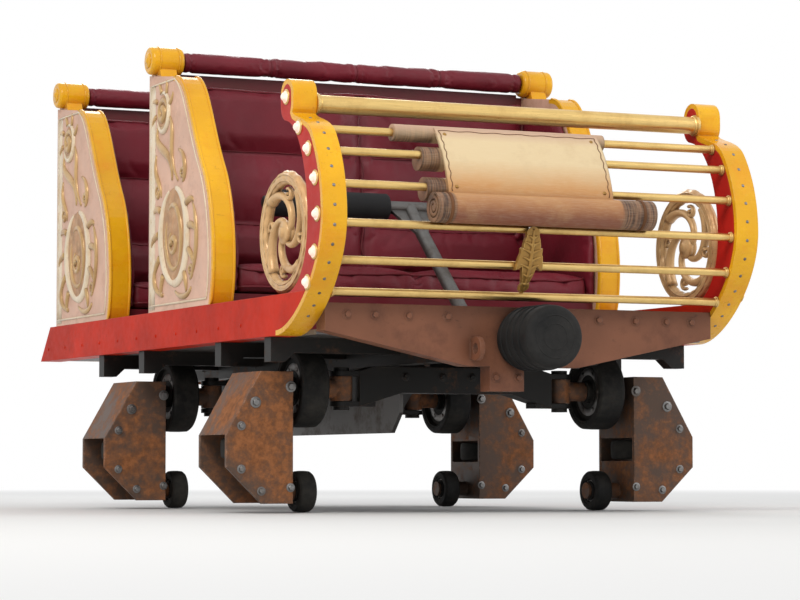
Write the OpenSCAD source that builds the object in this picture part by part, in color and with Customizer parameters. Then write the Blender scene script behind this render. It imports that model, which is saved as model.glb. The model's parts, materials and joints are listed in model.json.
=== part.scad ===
// Roller coaster car for two rows of two riders, in fairground dress.
// The front faces -Y, the car's left side is +X and the floor is z = 0.
// The origin is the middle of the car's box on the floor it parks on.

/* [Overall] */
// Length over the front buffer and the rear strike plate
car_len = 2100; // [2090:5:2200]
// Clear width between the side boards
inner_w = 1020; // [980:10:1060]
// Thickness of the side boards
board_t = 60; // [44:2:70]
// Distance from the front row to the rear row
row_pitch = 765; // [745:5:775]
// Distance from the buffer face to the rear edge of the front row's side panels
front_row_y = 1175; // [1165:5:1180]

/* [Track gear] */
// Diameter of the rail tube that the wheels run on
rail_d = 100; // [80:2:110]
// Distance between the centre lines of the two rails
gauge = 808; // [790:2:830]
// Distance from the buffer face to the front axle
front_axle = 548; // [530:2:570]
// Distance between the front and the rear axle
wheelbase = 872; // [840:2:900]
// Diameter of the running wheels on top of the rail
run_d = 190; // [170:2:196]
// Width of the running wheels
run_w = 70; // [56:2:76]
// Diameter of the guide wheels beside the rail
guide_d = 150; // [130:2:154]
// Width of the guide wheels
guide_w = 48; // [40:2:52]
// Diameter of the up-stop wheels below the rail
upstop_d = 100; // [90:2:110]
// Width of the up-stop wheels
upstop_w = 44; // [36:2:48]
// Thickness of the wheels' treads
tread_t = 16; // [10:1:18]
// Gap between the rail and the guide and up-stop wheels
rail_gap = 4; // [2:1:8]
// Diameter of the running axles
axle_d = 32; // [26:2:36]
// Diameter of the guide and up-stop axles
stub_d = 24; // [18:2:26]
// Distance from the rail's centre line inward to the kingpin
kingpin_in = 104; // [98:2:116]
// Diameter of the kingpins
kingpin_d = 26; // [20:2:30]
// Thickness of the carrier plates
plate_t = 10; // [8:1:12]
// Reach of the carrier plates beyond the rail's centre line
carrier_reach = 230; // [226:1:240]
// Reach of the carrier plates at their top
carrier_top = 143; // [136:1:150]

/* [Chassis] */
// Underside of the sills above the rail
sill_clear = 209; // [207:1:230]
// Width of the two long frame tubes
tube_w = 50; // [40:2:60]
// Height of the two long frame tubes
tube_h = 60; // [50:2:64]
// Distance of each long tube from the middle
tube_x = 200; // [180:5:215]
// Width of the outriggers under the sills
rigger_w = 40; // [30:2:50]
// Height of the outriggers
rigger_h = 36; // [30:1:38]
// Thickness of the floor pan
floor_t = 12; // [8:1:16]
// Height of the front beam at its ends
beam_end_h = 64; // [50:2:68]
// Height of the front beam at the buffer
beam_mid_h = 140; // [124:2:150]
// Distance from the sills' top down to the front beam
beam_drop = 24; // [20:1:26]
// Depth of the front and rear beams
beam_t = 50; // [40:2:52]
// Thickness of the beams' walls
web_t = 8; // [5:1:10]
// Height of the rear beam
rear_beam_h = 75; // [60:1:80]
// Diameter of the buffer
buffer_d = 148; // [120:2:160]
// Length of the buffer with its flange
buffer_len = 160; // [140:5:170]
// Height of the buffer's middle above the rail
buffer_up = 205; // [195:1:215]
// Width of the strike plate
strike_w = 200; // [160:5:240]
// Height of the strike plate
strike_h = 110; // [90:2:130]
// Diameter of the tow eye's hole
tow_d = 26; // [16:1:30]
// Distance of the tow eye from the middle
tow_x = 135; // [120:1:150]
// Reach of the tow eye in front of the beam
tow_reach = 55; // [50:1:70]
// Height of the bracket below the front beam
bracket_h = 58; // [40:1:70]

/* [Body] */
// Height of the sills
sill_h = 95; // [92:1:110]
// Length of the slanted rear end of the sills
sill_slant = 85; // [70:5:90]
// Distance from the sills' rear end to the strike plate's face
sill_back = 20; // [15:1:25]
// Height of the seat side panels above the sills
panel_h = 618; // [590:2:640]
// Fall of a side panel's top edge towards the front
panel_drop = 24; // [10:1:30]
// Depth of a side panel along its top edge
panel_top = 190; // [170:5:210]
// Depth of a side panel at its waist
waist_y = 395; // [375:5:405]
// Height of a side panel's waist above the sill
waist_z = 341; // [320:5:360]
// Height of a side panel's belly above the sill
belly_z = 116; // [90:2:140]
// Depth of a side panel at the sill
panel_foot = 442; // [425:2:450]
// Thickness of the edge strips on the panels and the hoops
strip_t = 12; // [8:1:16]
// Distance of the roll caps' middle from a panel's rear edge
cap_y = 30; // [24:1:36]
// Diameter of the roll caps
cap_d = 73; // [64:1:80]
// Length of the roll caps
cap_len = 90; // [80:2:100]

/* [Hoops] */
// Distance from the buffer face to the hoops' centre
hoop_y = 360; // [360:1:370]
// Height of the hoops' centre above the sills' top
hoop_up = 166; // [160:1:176]
// Radius of the hoops' outer edge
hoop_r = 325; // [318:1:325]
// Width of the hoops' boards
hoop_band = 88; // [80:2:100]
// Distance of the hoops' foot in front of their centre
nose_foot = 50; // [30:5:80]
// Radius of the rounded head on top of each hoop
head_r = 37; // [32:1:38]
// Height of the straight part of each head
head_up = 23; // [16:1:28]
// Number of lamps on each hoop
lamp_count = 7; // [5:1:7]
// Diameter of a lamp's bulb
lamp_d = 22; // [16:1:24]
// Radius of the fretwork rosettes
rosette_r = 146; // [136:1:150]
// Distance of the rosettes in front of the hoops' centre
rosette_fore = 44; // [38:1:50]
// Thickness of the fretwork
fret_t = 24; // [16:2:30]

/* [Grille] */
// Diameter of the top tube
top_d = 42; // [36:1:46]
// Diameter of the grille bars
bar_d = 19; // [15:1:20]
// Number of grille bars
bar_count = 6; // [5:1:6]
// Width of the sign's sheet
sign_w = 430; // [380:10:480]
// Distance of the sheet's middle from the car's middle
sign_x = 35; // [20:1:50]
// Thickness of the sign's sheet
sheet_t = 7; // [5:1:9]
// Diameter of the sign's bottom roll
roll_d = 70; // [60:1:70]
// Length of the sign's bottom roll
roll_len = 568; // [520:4:580]
// Distance of the bottom roll's middle from the car's middle
roll_x = 12; // [0:1:20]
// Diameter of the sign's top roll
top_roll_d = 40; // [36:1:44]
// Length of the sign's top roll
top_roll_len = 550; // [500:10:570]
// Distance of the top roll's middle from the car's middle
top_roll_x = 75; // [60:1:90]
// Diameter of the volutes beside the sheet
volute_d = 56; // [54:1:60]
// Length of the volutes
volute_len = 50; // [40:1:60]
// Thickness of the carved bracket below the sign
ornament_t = 12; // [8:1:14]
// Height of the carved bracket
ornament_h = 155; // [140:1:160]

/* [Seats] */
// Thickness of the seat shells
shell_t = 15; // [10:1:18]
// Height of the seat board's top above the floor pan
seat_up = 113; // [105:1:125]
// Thickness of the seat cushions
cushion_t = 70; // [55:5:80]
// Depth of the seat shells along the seat
seat_depth = 420; // [405:5:425]
// Thickness of a backrest at its foot
back_t = 95; // [80:5:105]
// Thickness of a backrest at its top
back_top_t = 60; // [45:5:70]
// Thickness of the side pads
pad_t = 18; // [12:1:24]
// Distance of the side pads from the panels' outline
pad_inset = 30; // [24:1:40]
// Diameter of the padded roll on top of a backrest
head_roll_d = 58; // [50:1:64]

/* [Lap bars] */
// Distance of a lap bar's hinge in front of its row's panel edge
lap_hinge = 725; // [715:5:730]
// Length of a lap bar's post
lap_len = 470; // [455:5:480]
// Slope of a closed lap bar from upright
lap_slope = 48; // [45:1:50]
// Diameter of the lap bar tubes
lap_tube = 34; // [30:1:38]
// Diameter of the lap bar pads
lap_pad_d = 74; // [60:2:80]
// Width of the lap bars
lap_w = 800; // [740:10:810]
// Length of each lap bar pad
lap_pad_len = 320; // [280:10:320]
// Diameter of the pins of the lap bars and the dogs
pin_d = 16; // [12:1:20]

/* [Hidden] */
$fn = 64;

// Clearances between seated pieces, round pins and beside swinging pieces
seat_gap = 0.3;
pin_gap = 0.3;
swing_gap = 1;
// Overlap of parts that are welded into one piece
weld = 2;

// Heights, from the floor up
rail_z = upstop_d + rail_gap + rail_d / 2;
rail_top = rail_z + rail_d / 2;
axle_z = rail_top + run_d / 2;
sill_z = rail_top + sill_clear;
sill_top = sill_z + sill_h;
floor_top = sill_z + floor_t;
panel_z = sill_top + panel_h;

// Places along the car
front_y = -car_len / 2;
rear_y = car_len / 2;
row_front = front_y + front_row_y;
row_rear = row_front + row_pitch;
axle_front_y = front_y + front_axle;
axle_rear_y = axle_front_y + wheelbase;
beam_y = front_y + buffer_len;
sill_rear_y = rear_y - sill_back;
rear_beam_in = 12;
rear_beam_y = sill_rear_y - sill_slant - beam_t + rear_beam_in;

// Places across the car
x_in = inner_w / 2;
x_mid = x_in + board_t / 2;
x_out = x_in + board_t;

// Colours
c_red = [0.62, 0.07, 0.04];
c_dark_red = [0.45, 0.05, 0.04];
c_yellow = [0.93, 0.55, 0.06];
c_cream = [0.74, 0.57, 0.46];
c_gold = [0.72, 0.55, 0.28];
c_brass = [0.80, 0.66, 0.38];
c_parchment = [0.80, 0.62, 0.40];
c_bronze = [0.42, 0.28, 0.10];
c_maroon = [0.28, 0.03, 0.06];
c_brown = [0.38, 0.21, 0.14];
c_frame = [0.12, 0.10, 0.09];
c_steel = [0.45, 0.45, 0.46];
c_black = [0.05, 0.05, 0.05];
c_rust = [0.36, 0.20, 0.12];
c_lamp = [1.00, 0.88, 0.65];

// Draws its children and their mirror image on the other side
module both_sides() {
    children();
    mirror([1, 0, 0]) children();
}

// Extrudes a side view, drawn as [y, z], across the car from x0 to x1
module across(x0, x1)
    translate([x0, 0, 0]) rotate([90, 0, 90]) linear_extrude(x1 - x0) children();

// Extrudes a front view, drawn as [x, z], along the car from y0 to y1
module along(y0, y1)
    translate([0, y1, 0]) rotate([90, 0, 0]) linear_extrude(y1 - y0) children();

// A round rod across the car through [y, z]
module rod_x(d, x0, x1, y, z)
    translate([x0, y, z]) rotate([0, 90, 0]) cylinder(d = d, h = x1 - x0);

// A point on a cubic curve with the control points p
function cubic(p, t) =
    pow(1 - t, 3) * p[0] + 3 * t * pow(1 - t, 2) * p[1]
    + 3 * t * t * (1 - t) * p[2] + pow(t, 3) * p[3];

// A cubic curve as a list of points, without its first one if skip is 1
curve_steps = 12;
function curve(p, skip = 0, steps = curve_steps) = [for (i = [skip : steps]) cubic(p, i / steps)];

// A list in the opposite order
function reversed(list) = [for (i = [len(list) - 1 : -1 : 0]) list[i]];

// A spiral from radius r0 at angle a0 to radius r1 at angle a1
function spiral(r0, r1, a0, a1, steps) = [
    for (i = [0 : steps])
    let (t = i / steps, r = r0 + (r1 - r0) * t, a = a0 + (a1 - a0) * t)
    [r * cos(a), r * sin(a)]
];

// The direction square to a path at its point i, on the left of its way
function square_to(path, i) =
    let (d = path[min(i + 1, len(path) - 1)] - path[max(i - 1, 0)])
    [-d[1], d[0]] / norm(d);

// A flat band along a path, w0 wide at its start and w1 at its end
module ribbon(path, w0, w1) {
    last = len(path) - 1;
    half = [for (i = [0 : last]) (w0 + (w1 - w0) * i / last) / 2 * square_to(path, i)];
    polygon(concat(
        [for (i = [0 : last]) path[i] + half[i]],
        [for (i = [last : -1 : 0]) path[i] - half[i]]
    ));
}

// A pointed leaf from the origin along +X, l long and w wide
leaf_steps = 10;
module leaf(l, w) {
    side = [for (i = [0 : leaf_steps]) let (t = i / leaf_steps) [l * t, w / 2 * sin(180 * pow(t, 0.7))]];
    polygon(concat(side, [for (i = [leaf_steps - 1 : -1 : 1]) [side[i][0], -side[i][1]]]));
}

// Hoops, drawn as [y, z] about their centre
hoop_in_r = hoop_r - hoop_band;
hoop_low = hoop_up + sill_h;
function on_arc(r, a) = [-r * cos(a), r * sin(a)];
function arc(c, r, a0, a1, steps) = [for (i = [0 : steps]) c + on_arc(r, a0 + (a1 - a0) * i / steps)];
head_at = hoop_r * [-0.354, 0.831];
head_top_at = head_at + [0, head_up];
neck_a = 36;
neck_pull = 50;
nose_steps = 24;
// Control points of the front edge below the middle, of the neck and of the inner edge
nose_curve = [
    [-nose_foot, -hoop_low],
    [-nose_foot - 0.34 * hoop_r, -hoop_low],
    [-hoop_r, -0.4 * hoop_r],
    [-hoop_r, 0]
];
neck_out = [
    on_arc(hoop_r, neck_a),
    on_arc(hoop_r, neck_a) + neck_pull * [sin(neck_a), cos(neck_a)],
    head_at + head_r * [-1.22, -1],
    head_at + on_arc(head_r, -35)
];
foot_in = [
    [-0.37 * hoop_r, -hoop_up],
    [-0.55 * hoop_r, -hoop_up + 6],
    [-hoop_in_r, -0.34 * hoop_r],
    [-hoop_in_r, 0]
];
neck_in = [
    [-hoop_in_r, 0],
    [-hoop_in_r, 0.485 * hoop_in_r],
    head_at + head_r * [-1.75, -1.3],
    head_at + on_arc(head_r, 265)
];
// The front edge from the sill's underside over the head to its back, and the same edge inside the strip
outer_edge = concat(
    curve(nose_curve, 0, nose_steps),
    arc([0, 0], hoop_r, 3, neck_a, 11),
    curve(neck_out, 1),
    arc(head_at, head_r, -20, 0, 2),
    arc(head_top_at, head_r, 0, 170, 17)
);
inset_edge = [for (i = [0 : len(outer_edge) - 1]) outer_edge[i] - strip_t * square_to(outer_edge, i)];
inner_edge = concat(
    curve(foot_in),
    curve(neck_in, 1),
    arc(head_at, head_r, 255, 180, 8),
    [head_top_at + on_arc(head_r, 180)]
);

module at_hoop()
    translate([front_y + hoop_y, sill_top + hoop_up]) children();

// The yellow strip over the whole front edge
module rim_2d()
    polygon(concat(outer_edge, reversed(inset_edge)));

// The board behind the strip, above the sill
module hoop_board_2d()
    difference() {
        polygon(concat(inset_edge, reversed(inner_edge)));
        translate([-2 * hoop_r, -3 * hoop_r]) square([4 * hoop_r, 3 * hoop_r - hoop_up]);
    }

module hoop()
    color(c_dark_red)
    across(x_in, x_out) at_hoop() hoop_board_2d();

module hoop_rims()
    color(c_yellow)
    both_sides() across(x_in, x_out) at_hoop() rim_2d();

// Sills: the nose ends at the hoop's strip, the rear end is slanted
module sill_2d()
    difference() {
        polygon([
            [front_y, sill_z], [sill_rear_y, sill_z],
            [sill_rear_y - sill_slant, sill_top], [front_y, sill_top]
        ]);
        at_hoop() polygon(concat(
            [for (i = [0 : nose_steps]) inset_edge[i]],
            [[-2 * hoop_r, 0], [-2 * hoop_r, -2 * hoop_r], [-nose_foot, -2 * hoop_r], outer_edge[0]]
        ));
    }

module sill()
    color(c_red)
    across(x_in, x_out) sill_2d();

// Lamps: the first sits on the head, the others by angle and share of the hoops' radius
lamp_places = [[48.5, 0.865], [32.9, 0.885], [17, 0.905], [0.6, 0.905], [-16.3, 0.89], [-31.9, 0.86]];
lamp_foot = 3;
function lamp_at(i) = i == 0
    ? head_at + [lamp_foot, 0.8 * head_up]
    : on_arc(lamp_places[i - 1][1] * hoop_r, lamp_places[i - 1][0]);
module lamp()
    rotate([0, 90, 0]) rotate_extrude($fn = 24) {
        square([lamp_d / 2 + lamp_foot, lamp_foot + 1]);
        intersection() {
            translate([0, lamp_foot]) circle(d = lamp_d, $fn = 24);
            translate([0, lamp_foot]) square(lamp_d);
        }
    }

module hoop_lamps()
    color(c_lamp)
    both_sides() for (i = [0 : lamp_count - 1])
        translate([x_out, front_y + hoop_y + lamp_at(i)[0], sill_top + hoop_up + lamp_at(i)[1]]) lamp();

// Fretwork rosette that stands on the sill behind the hoop, with comma-shaped openings
rosette_y = front_y + hoop_y - rosette_fore;
comma_count = 5;
comma_w = 30;
comma_tail = 5;
scallop_count = 22;
scallop_r = 12;
plinth_w = 90;
plinth_h = 18;
fret_round = 1.5;
module comma() {
    path = spiral(0.4 * rosette_r, 0.78 * rosette_r, 0, 62, 10);
    translate(path[0]) circle(d = comma_w + 4, $fn = 32);
    ribbon(path, comma_w, comma_tail);
}

module rosette_2d()
    translate([rosette_y, sill_top + rosette_r])
    offset(r = fret_round, $fn = 12) offset(delta = -fret_round)
    difference() {
        union() {
            circle(r = rosette_r - scallop_r / 2, $fn = 96);
            for (i = [0 : scallop_count - 1]) rotate(i * 360 / scallop_count)
                translate([rosette_r - scallop_r, 0]) circle(r = scallop_r, $fn = 24);
            translate([-plinth_w / 2, -rosette_r]) square([plinth_w, plinth_h]);
        }
        circle(r = 0.09 * rosette_r, $fn = 24);
        for (i = [0 : comma_count - 1]) rotate(i * 360 / comma_count + 20) {
            comma();
            rotate(12) translate([0.68 * rosette_r, 0]) rotate(15) leaf(0.24 * rosette_r, comma_w * 0.4);
        }
    }

module fretwork()
    color(c_gold)
    across(x_mid - fret_t / 2, x_mid + fret_t / 2) rosette_2d();

// Grille bars by angle and share of the hoops' radius, from the top down
bar_places = [[43.8, 0.915], [30.3, 0.925], [14.4, 0.925], [-2.7, 0.925], [-19.3, 0.905], [-35.8, 0.8735]];
bar_ring = 0.925 * hoop_r;
function at_bar(i) = on_arc(bar_places[i][1] * hoop_r, bar_places[i][0]);

module grille_bars()
    color(c_brass)
    for (i = [0 : bar_count - 1])
        rod_x(bar_d, -x_in, x_in, front_y + hoop_y + at_bar(i)[0], sill_top + hoop_up + at_bar(i)[1]);

// Top tube with a collar against each hoop's head
collar_w = 5;
collar_l = 6;
tube_fore = 20;
tube_rise = 3;
module top_tube()
    color(c_brass)
    translate([0, front_y + hoop_y + head_at[0] - tube_fore, sill_top + hoop_up + head_at[1] + tube_rise]) {
        rod_x(top_d, -x_in, x_in, 0, 0);
        both_sides() rod_x(top_d + 2 * collar_w, x_in - collar_l, x_in, 0, 0);
    }

// Sign in the form of a parchment scroll: it hangs on the three upper bars
sheet_off = 1.5;
sheet_r = bar_ring + bar_d / 2 + sheet_off + sheet_t;
sheet_low_a = 8;
sheet_left = -sign_x - sign_w / 2;
roll_left = -roll_x - roll_len / 2;
top_left = -top_roll_x - top_roll_len / 2;
sign_roll = hoop_r * [-1, 0.08];
volute_ring = sheet_r - sheet_t - volute_d / 2 + weld;
groove_w = 4;
groove_in = 6;
module sheet_2d()
    intersection() {
        difference() {
            circle(r = sheet_r, $fn = 120);
            circle(r = sheet_r - sheet_t, $fn = 120);
        }
        polygon([
            [0, 0], on_arc(2 * hoop_r, sheet_low_a),
            on_arc(2 * hoop_r, (sheet_low_a + bar_places[0][0]) / 2), on_arc(2 * hoop_r, bar_places[0][0])
        ]);
    }

module bar_hole(i)
    translate(at_bar(i)) circle(d = bar_d + 2 * seat_gap, $fn = 48);

module sign_scroll()
    color(c_parchment) {
        // sheet
        across(sheet_left, sheet_left + sign_w) at_hoop() sheet_2d();
        // top roll round the first bar
        across(top_left, top_left + top_roll_len) at_hoop() difference() {
            translate(at_bar(0)) circle(d = top_roll_d, $fn = 48);
            bar_hole(0);
        }
        // bottom roll with a spiral cut into each end
        difference() {
            across(roll_left, roll_left + roll_len) at_hoop() translate(sign_roll) circle(d = roll_d);
            for (x = [roll_left - 1, roll_left + roll_len - groove_w])
                across(x, x + groove_w + 1) at_hoop() translate(sign_roll)
                    ribbon(spiral(roll_d / 2 - groove_in, groove_in, 100, 820, 40), groove_w, groove_w);
        }
        // curled edge of the sheet, round the second and third bar
        for (i = [1, 2])
            across(sheet_left - volute_len, sheet_left + 2 * sheet_t) at_hoop() difference() {
                translate(on_arc(volute_ring, bar_places[i][0])) circle(d = volute_d, $fn = 48);
                bar_hole(i);
            }
    }

// Carved bracket below the sign, bent to the front of the three bars behind it
ornament_x = -36;
ornament_z = -9;
ornament_w = 46;
ornament_step = 3;
ornament_seat = [
    for (i = [5, 4, 3]) [bar_places[i][0], bar_places[i][1] * hoop_r + bar_d / 2 + seat_gap]
];
function ornament_arc(out) = [
    for (a = [bar_places[5][0] : ornament_step : bar_places[3][0] + 2 * ornament_step])
    on_arc(lookup(a, ornament_seat) + out, a)
];
module ornament_2d()
    translate([ornament_x, ornament_z]) rotate(-90)
    offset(r = fret_round, $fn = 12) offset(delta = -fret_round) {
        leaf(ornament_h, ornament_w);
        for (s = [-1, 1]) {
            translate([ornament_h * 0.3, 0]) rotate(32 * s) leaf(ornament_h * 0.42, ornament_w * 0.65);
            translate([ornament_h * 0.62, 0]) rotate(150 * s) leaf(ornament_h * 0.36, ornament_w * 0.56);
        }
        translate([ornament_h * 0.88, 0]) circle(d = ornament_w * 0.5, $fn = 32);
        translate([ornament_h * 0.1, 0]) circle(d = ornament_w * 0.7, $fn = 32);
    }

module sign_ornament()
    color(c_bronze)
    intersection() {
        along(front_y, front_y + hoop_y) translate([0, sill_top + hoop_up]) ornament_2d();
        across(ornament_x - 2 * ornament_w, ornament_x + 2 * ornament_w) at_hoop()
            polygon(concat(ornament_arc(0), reversed(ornament_arc(ornament_t))));
    }

// Seat side panels, drawn from the row's rear edge at the sill's top
// The front edge falls in an S from the shoulder over the waist to the belly
panel_front = panel_h - panel_drop;
shoulder_curve = [
    [-panel_top, panel_front],
    [-panel_top - 85, panel_front - 2],
    [-waist_y + 90, waist_z + 115],
    [-waist_y, waist_z]
];
belly_curve = [
    [-waist_y, waist_z],
    [-waist_y - 50, waist_z - 64],
    [-panel_foot - 43, belly_z],
    [-panel_foot, 0]
];

module panel_outline()
    polygon(concat([[0, 0], [0, panel_h]], curve(shoulder_curve), curve(belly_curve, 1)));

// The strip covers the front edge, so the board inside it is smaller by its thickness
module edge_strip_2d()
    difference() {
        panel_outline();
        offset(delta = -strip_t) {
            panel_outline();
            translate([-panel_foot, -2 * strip_t]) square([panel_foot + strip_t, 3 * strip_t]);
            polygon([
                [-panel_top, 0], [-panel_top, panel_front], [-panel_top, panel_h + 2 * strip_t],
                [2 * strip_t, panel_h + 2 * strip_t], [2 * strip_t, 0]
            ]);
        }
    }

module side_panel(row)
    color(c_cream)
    across(x_in, x_out) translate([row, sill_top]) difference() {
        panel_outline();
        edge_strip_2d();
    }

module edge_strips(row)
    color(c_yellow)
    both_sides() across(x_in, x_out) translate([row, sill_top]) edge_strip_2d();

// Roll caps: round knobs with rounded rims, on a saddle that follows the panel's top
cap_round = 9;
function top_at(y) = panel_z - panel_drop * y / panel_top;
module roll_caps(row)
    color(c_yellow)
    both_sides() {
        translate([x_mid - cap_len / 2, row - cap_y, panel_z + cap_d / 2]) rotate([0, 90, 0])
            rotate_extrude() polygon(concat(
                [[0, 0]],
                [for (a = [-90 : 15 : 0]) [cap_d / 2 - cap_round, cap_round] + cap_round * [cos(a), sin(a)]],
                [for (a = [0 : 15 : 90])
                    [cap_d / 2 - cap_round, cap_len - cap_round] + cap_round * [cos(a), sin(a)]],
                [[0, cap_len]]
            ));
        across(x_mid - cap_len / 4, x_mid + cap_len / 4) polygon([
            [row - cap_y - cap_d / 2, top_at(cap_y + cap_d / 2)],
            [row - cap_y + cap_d / 2, top_at(cap_y - cap_d / 2)],
            [row - cap_y + cap_d / 4, panel_z + cap_d / 2],
            [row - cap_y - cap_d / 4, panel_z + cap_d / 2]
        ]);
    }

// Front beam: a channel that is open to the rear, deepest behind the buffer
beam_top = sill_top - beam_drop;
buffer_z = rail_top + buffer_up;
beam_flat = 148;
module beam_2d()
    polygon([
        [-x_in, beam_top], [x_in, beam_top], [x_in, beam_top - beam_end_h],
        [beam_flat, beam_top - beam_mid_h], [-beam_flat, beam_top - beam_mid_h],
        [-x_in, beam_top - beam_end_h]
    ]);

// Tow eye beside the buffer and a bracket below the beam
flange_t = 12;
tow_t = 12;
tow_r = tow_d / 2 + 15;
tow_z = buffer_z - 25;
bracket_w = 90;
module front_beam()
    color(c_brown) {
        difference() {
            along(beam_y, beam_y + beam_t) beam_2d();
            along(beam_y + web_t, beam_y + beam_t + 1) offset(delta = -web_t) beam_2d();
        }
        across(-tow_x - tow_t / 2, -tow_x + tow_t / 2) translate([beam_y, tow_z]) difference() {
            union() {
                translate([tow_r - tow_reach, 0]) circle(r = tow_r);
                translate([tow_r - tow_reach, -tow_r + weld])
                    square([tow_reach - tow_r + weld, 2 * tow_r - 2 * weld]);
            }
            translate([tow_r - tow_reach, 0]) circle(d = tow_d);
        }
        translate([-bracket_w, beam_y, beam_top - beam_mid_h - bracket_h])
            cube([bracket_w, beam_t, bracket_h + web_t]);
    }

// Buffer: a rubber drum on a flange
buffer_round = 14;
module buffer()
    color(c_black)
    translate([0, front_y + buffer_len, buffer_z]) rotate([90, 0, 0]) rotate_extrude() polygon(concat(
        [[0, 0], [buffer_d / 2 - 3, 0], [buffer_d / 2 - 3, flange_t], [buffer_d / 2, flange_t]],
        [for (a = [0 : 15 : 90])
            [buffer_d / 2 - buffer_round, buffer_len - buffer_round] + buffer_round * [cos(a), sin(a)]],
        [[0, buffer_len]]
    ));

// Rear beam, open to the front, with a strike plate for the next buffer
module rear_beam()
    color(c_brown) {
        difference() {
            along(rear_beam_y, rear_beam_y + beam_t)
                translate([-x_in, sill_z]) square([inner_w, rear_beam_h]);
            along(rear_beam_y - 1, rear_beam_y + beam_t - web_t)
                translate([-x_in + web_t, sill_z + web_t])
                square([inner_w - 2 * web_t, rear_beam_h - 2 * web_t]);
        }
        along(rear_y - flange_t, rear_y)
            translate([-strike_w / 2, buffer_z - strike_h / 2]) square([strike_w, strike_h]);
        both_sides() across(strike_w / 2 - 3 * web_t, strike_w / 2 - 2 * web_t) polygon([
            [rear_beam_y + beam_t, sill_z], [rear_y - flange_t, buffer_z - strike_h / 2 + web_t],
            [rear_y - flange_t, buffer_z + strike_h / 2 - web_t],
            [rear_beam_y + beam_t, sill_z + rear_beam_h]
        ]);
    }

// Chassis: two long tubes with a forked beam at each axle
frame_front = beam_y + beam_t;
kingpin_x = gauge / 2 - kingpin_in;
boss_h = 60;
boss_d = kingpin_d + 30;
lug_t = 12;
lug_l = 80;
nut_w = 7;
nut_h = 9;
axle_beam_w = 60;
axle_arch = 34;
fork_low = axle_z - boss_h / 2 - swing_gap - lug_t;
fork_high = axle_z + boss_h / 2 + swing_gap;
tube_z = sill_z - tube_h;
rigger_tip = 58;
rigger_off = 160;
rigger_place = [
    axle_front_y - rigger_off, axle_front_y + rigger_off,
    axle_rear_y - rigger_off, axle_rear_y + rigger_off
];

module fork_lug(z)
    translate([0, 0, z]) linear_extrude(lug_t) {
        circle(d = boss_d);
        translate([-lug_l, -boss_d / 2]) square([lug_l, boss_d]);
    }

module kingpin() {
    translate([0, 0, fork_low - nut_h])
        cylinder(d = kingpin_d, h = fork_high + lug_t - fork_low + 2 * nut_h);
    for (z = [fork_low - nut_h, fork_high + lug_t])
        translate([0, 0, z]) cylinder(d = kingpin_d + 2 * nut_w, h = nut_h);
}

// An arched beam between two forks, under the long tubes
module axle_beam(y) {
    beam_x = kingpin_x - boss_d / 2 - swing_gap - web_t;
    arch_x = tube_x - tube_w;
    along(y - axle_beam_w / 2, y + axle_beam_w / 2) polygon([
        [-beam_x, fork_low], [-arch_x, fork_low + axle_arch],
        [arch_x, fork_low + axle_arch], [beam_x, fork_low],
        [beam_x, fork_high + lug_t], [tube_x + tube_w / 2, tube_z],
        [-tube_x - tube_w / 2, tube_z], [-beam_x, fork_high + lug_t]
    ]);
    both_sides() translate([kingpin_x, y, 0]) {
        fork_lug(fork_low);
        fork_lug(fork_high);
        kingpin();
    }
}

// Outriggers from the long tubes to both sills, each with a foot below the sill
module outriggers() {
    root_x = tube_x + tube_w / 2 + seat_gap;
    color(c_frame)
    for (y = rigger_place)
        both_sides() along(y - rigger_w / 2, y + rigger_w / 2) polygon([
            [root_x, sill_z], [x_out - strip_t, sill_z], [x_out - strip_t, sill_z - rigger_tip],
            [x_in + strip_t, sill_z - rigger_tip], [x_in - strip_t, sill_z - rigger_h],
            [root_x, sill_z - rigger_h]
        ]);
}

// Two lugs and a pin that carry a dog
dog_t = 24;
dog_drop = 20;
dog_pin_z = tube_z - dog_drop;
chain_dog_y = 140;
rollback_dog_y = -260;
cross_w = 40;
cross_in = 10;
module dog_bracket(y)
    translate([0, y, 0]) {
        both_sides() across(dog_t / 2 + swing_gap, dog_t / 2 + swing_gap + web_t) polygon([
            [-cross_w / 2, tube_z + dog_drop], [cross_w / 2, tube_z + dog_drop],
            [pin_d - 2, dog_pin_z - pin_d], [2 - pin_d, dog_pin_z - pin_d]
        ]);
        rod_x(pin_d, -dog_t / 2 - swing_gap - web_t, dog_t / 2 + swing_gap + web_t, 0, dog_pin_z);
    }

module chassis_frame()
    color(c_frame) {
        // long tubes
        both_sides() translate([tube_x - tube_w / 2, frame_front, tube_z])
            cube([tube_w, rear_beam_y - frame_front, tube_h]);
        axle_beam(axle_front_y);
        axle_beam(axle_rear_y);
        // cross tubes
        for (y = [
            frame_front, chain_dog_y - cross_w / 2, rollback_dog_y - cross_w / 2, rear_beam_y - cross_w
        ])
            translate([-tube_x, y, tube_z + cross_in]) cube([2 * tube_x, cross_w, tube_h - 2 * cross_in]);
        for (y = [chain_dog_y, rollback_dog_y]) dog_bracket(y);
    }

// Floor with the two lugs and the pin of each lap bar
lug_x = lap_tube / 2 + swing_gap;
lap_lug_r = 24;
lap_lug_foot = 36;
lap_up = 32;
lap_pin_z = floor_top + lap_up;
module floor_pan()
    color(c_steel) {
        translate([-x_in, frame_front, sill_z]) cube([inner_w, rear_beam_y - frame_front, floor_t]);
        for (row = [row_front, row_rear]) translate([0, row - lap_hinge, 0]) {
            both_sides() across(lug_x, lug_x + lug_t) {
                translate([0, lap_pin_z]) circle(r = lap_lug_r);
                polygon([
                    [-lap_lug_foot, floor_top], [lap_lug_foot, floor_top],
                    [lap_lug_r - 1, lap_pin_z + 3], [1 - lap_lug_r, lap_pin_z + 3]
                ]);
            }
            rod_x(pin_d, -lug_x - lug_t, lug_x + lug_t, 0, lap_pin_z);
        }
    }

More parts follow.
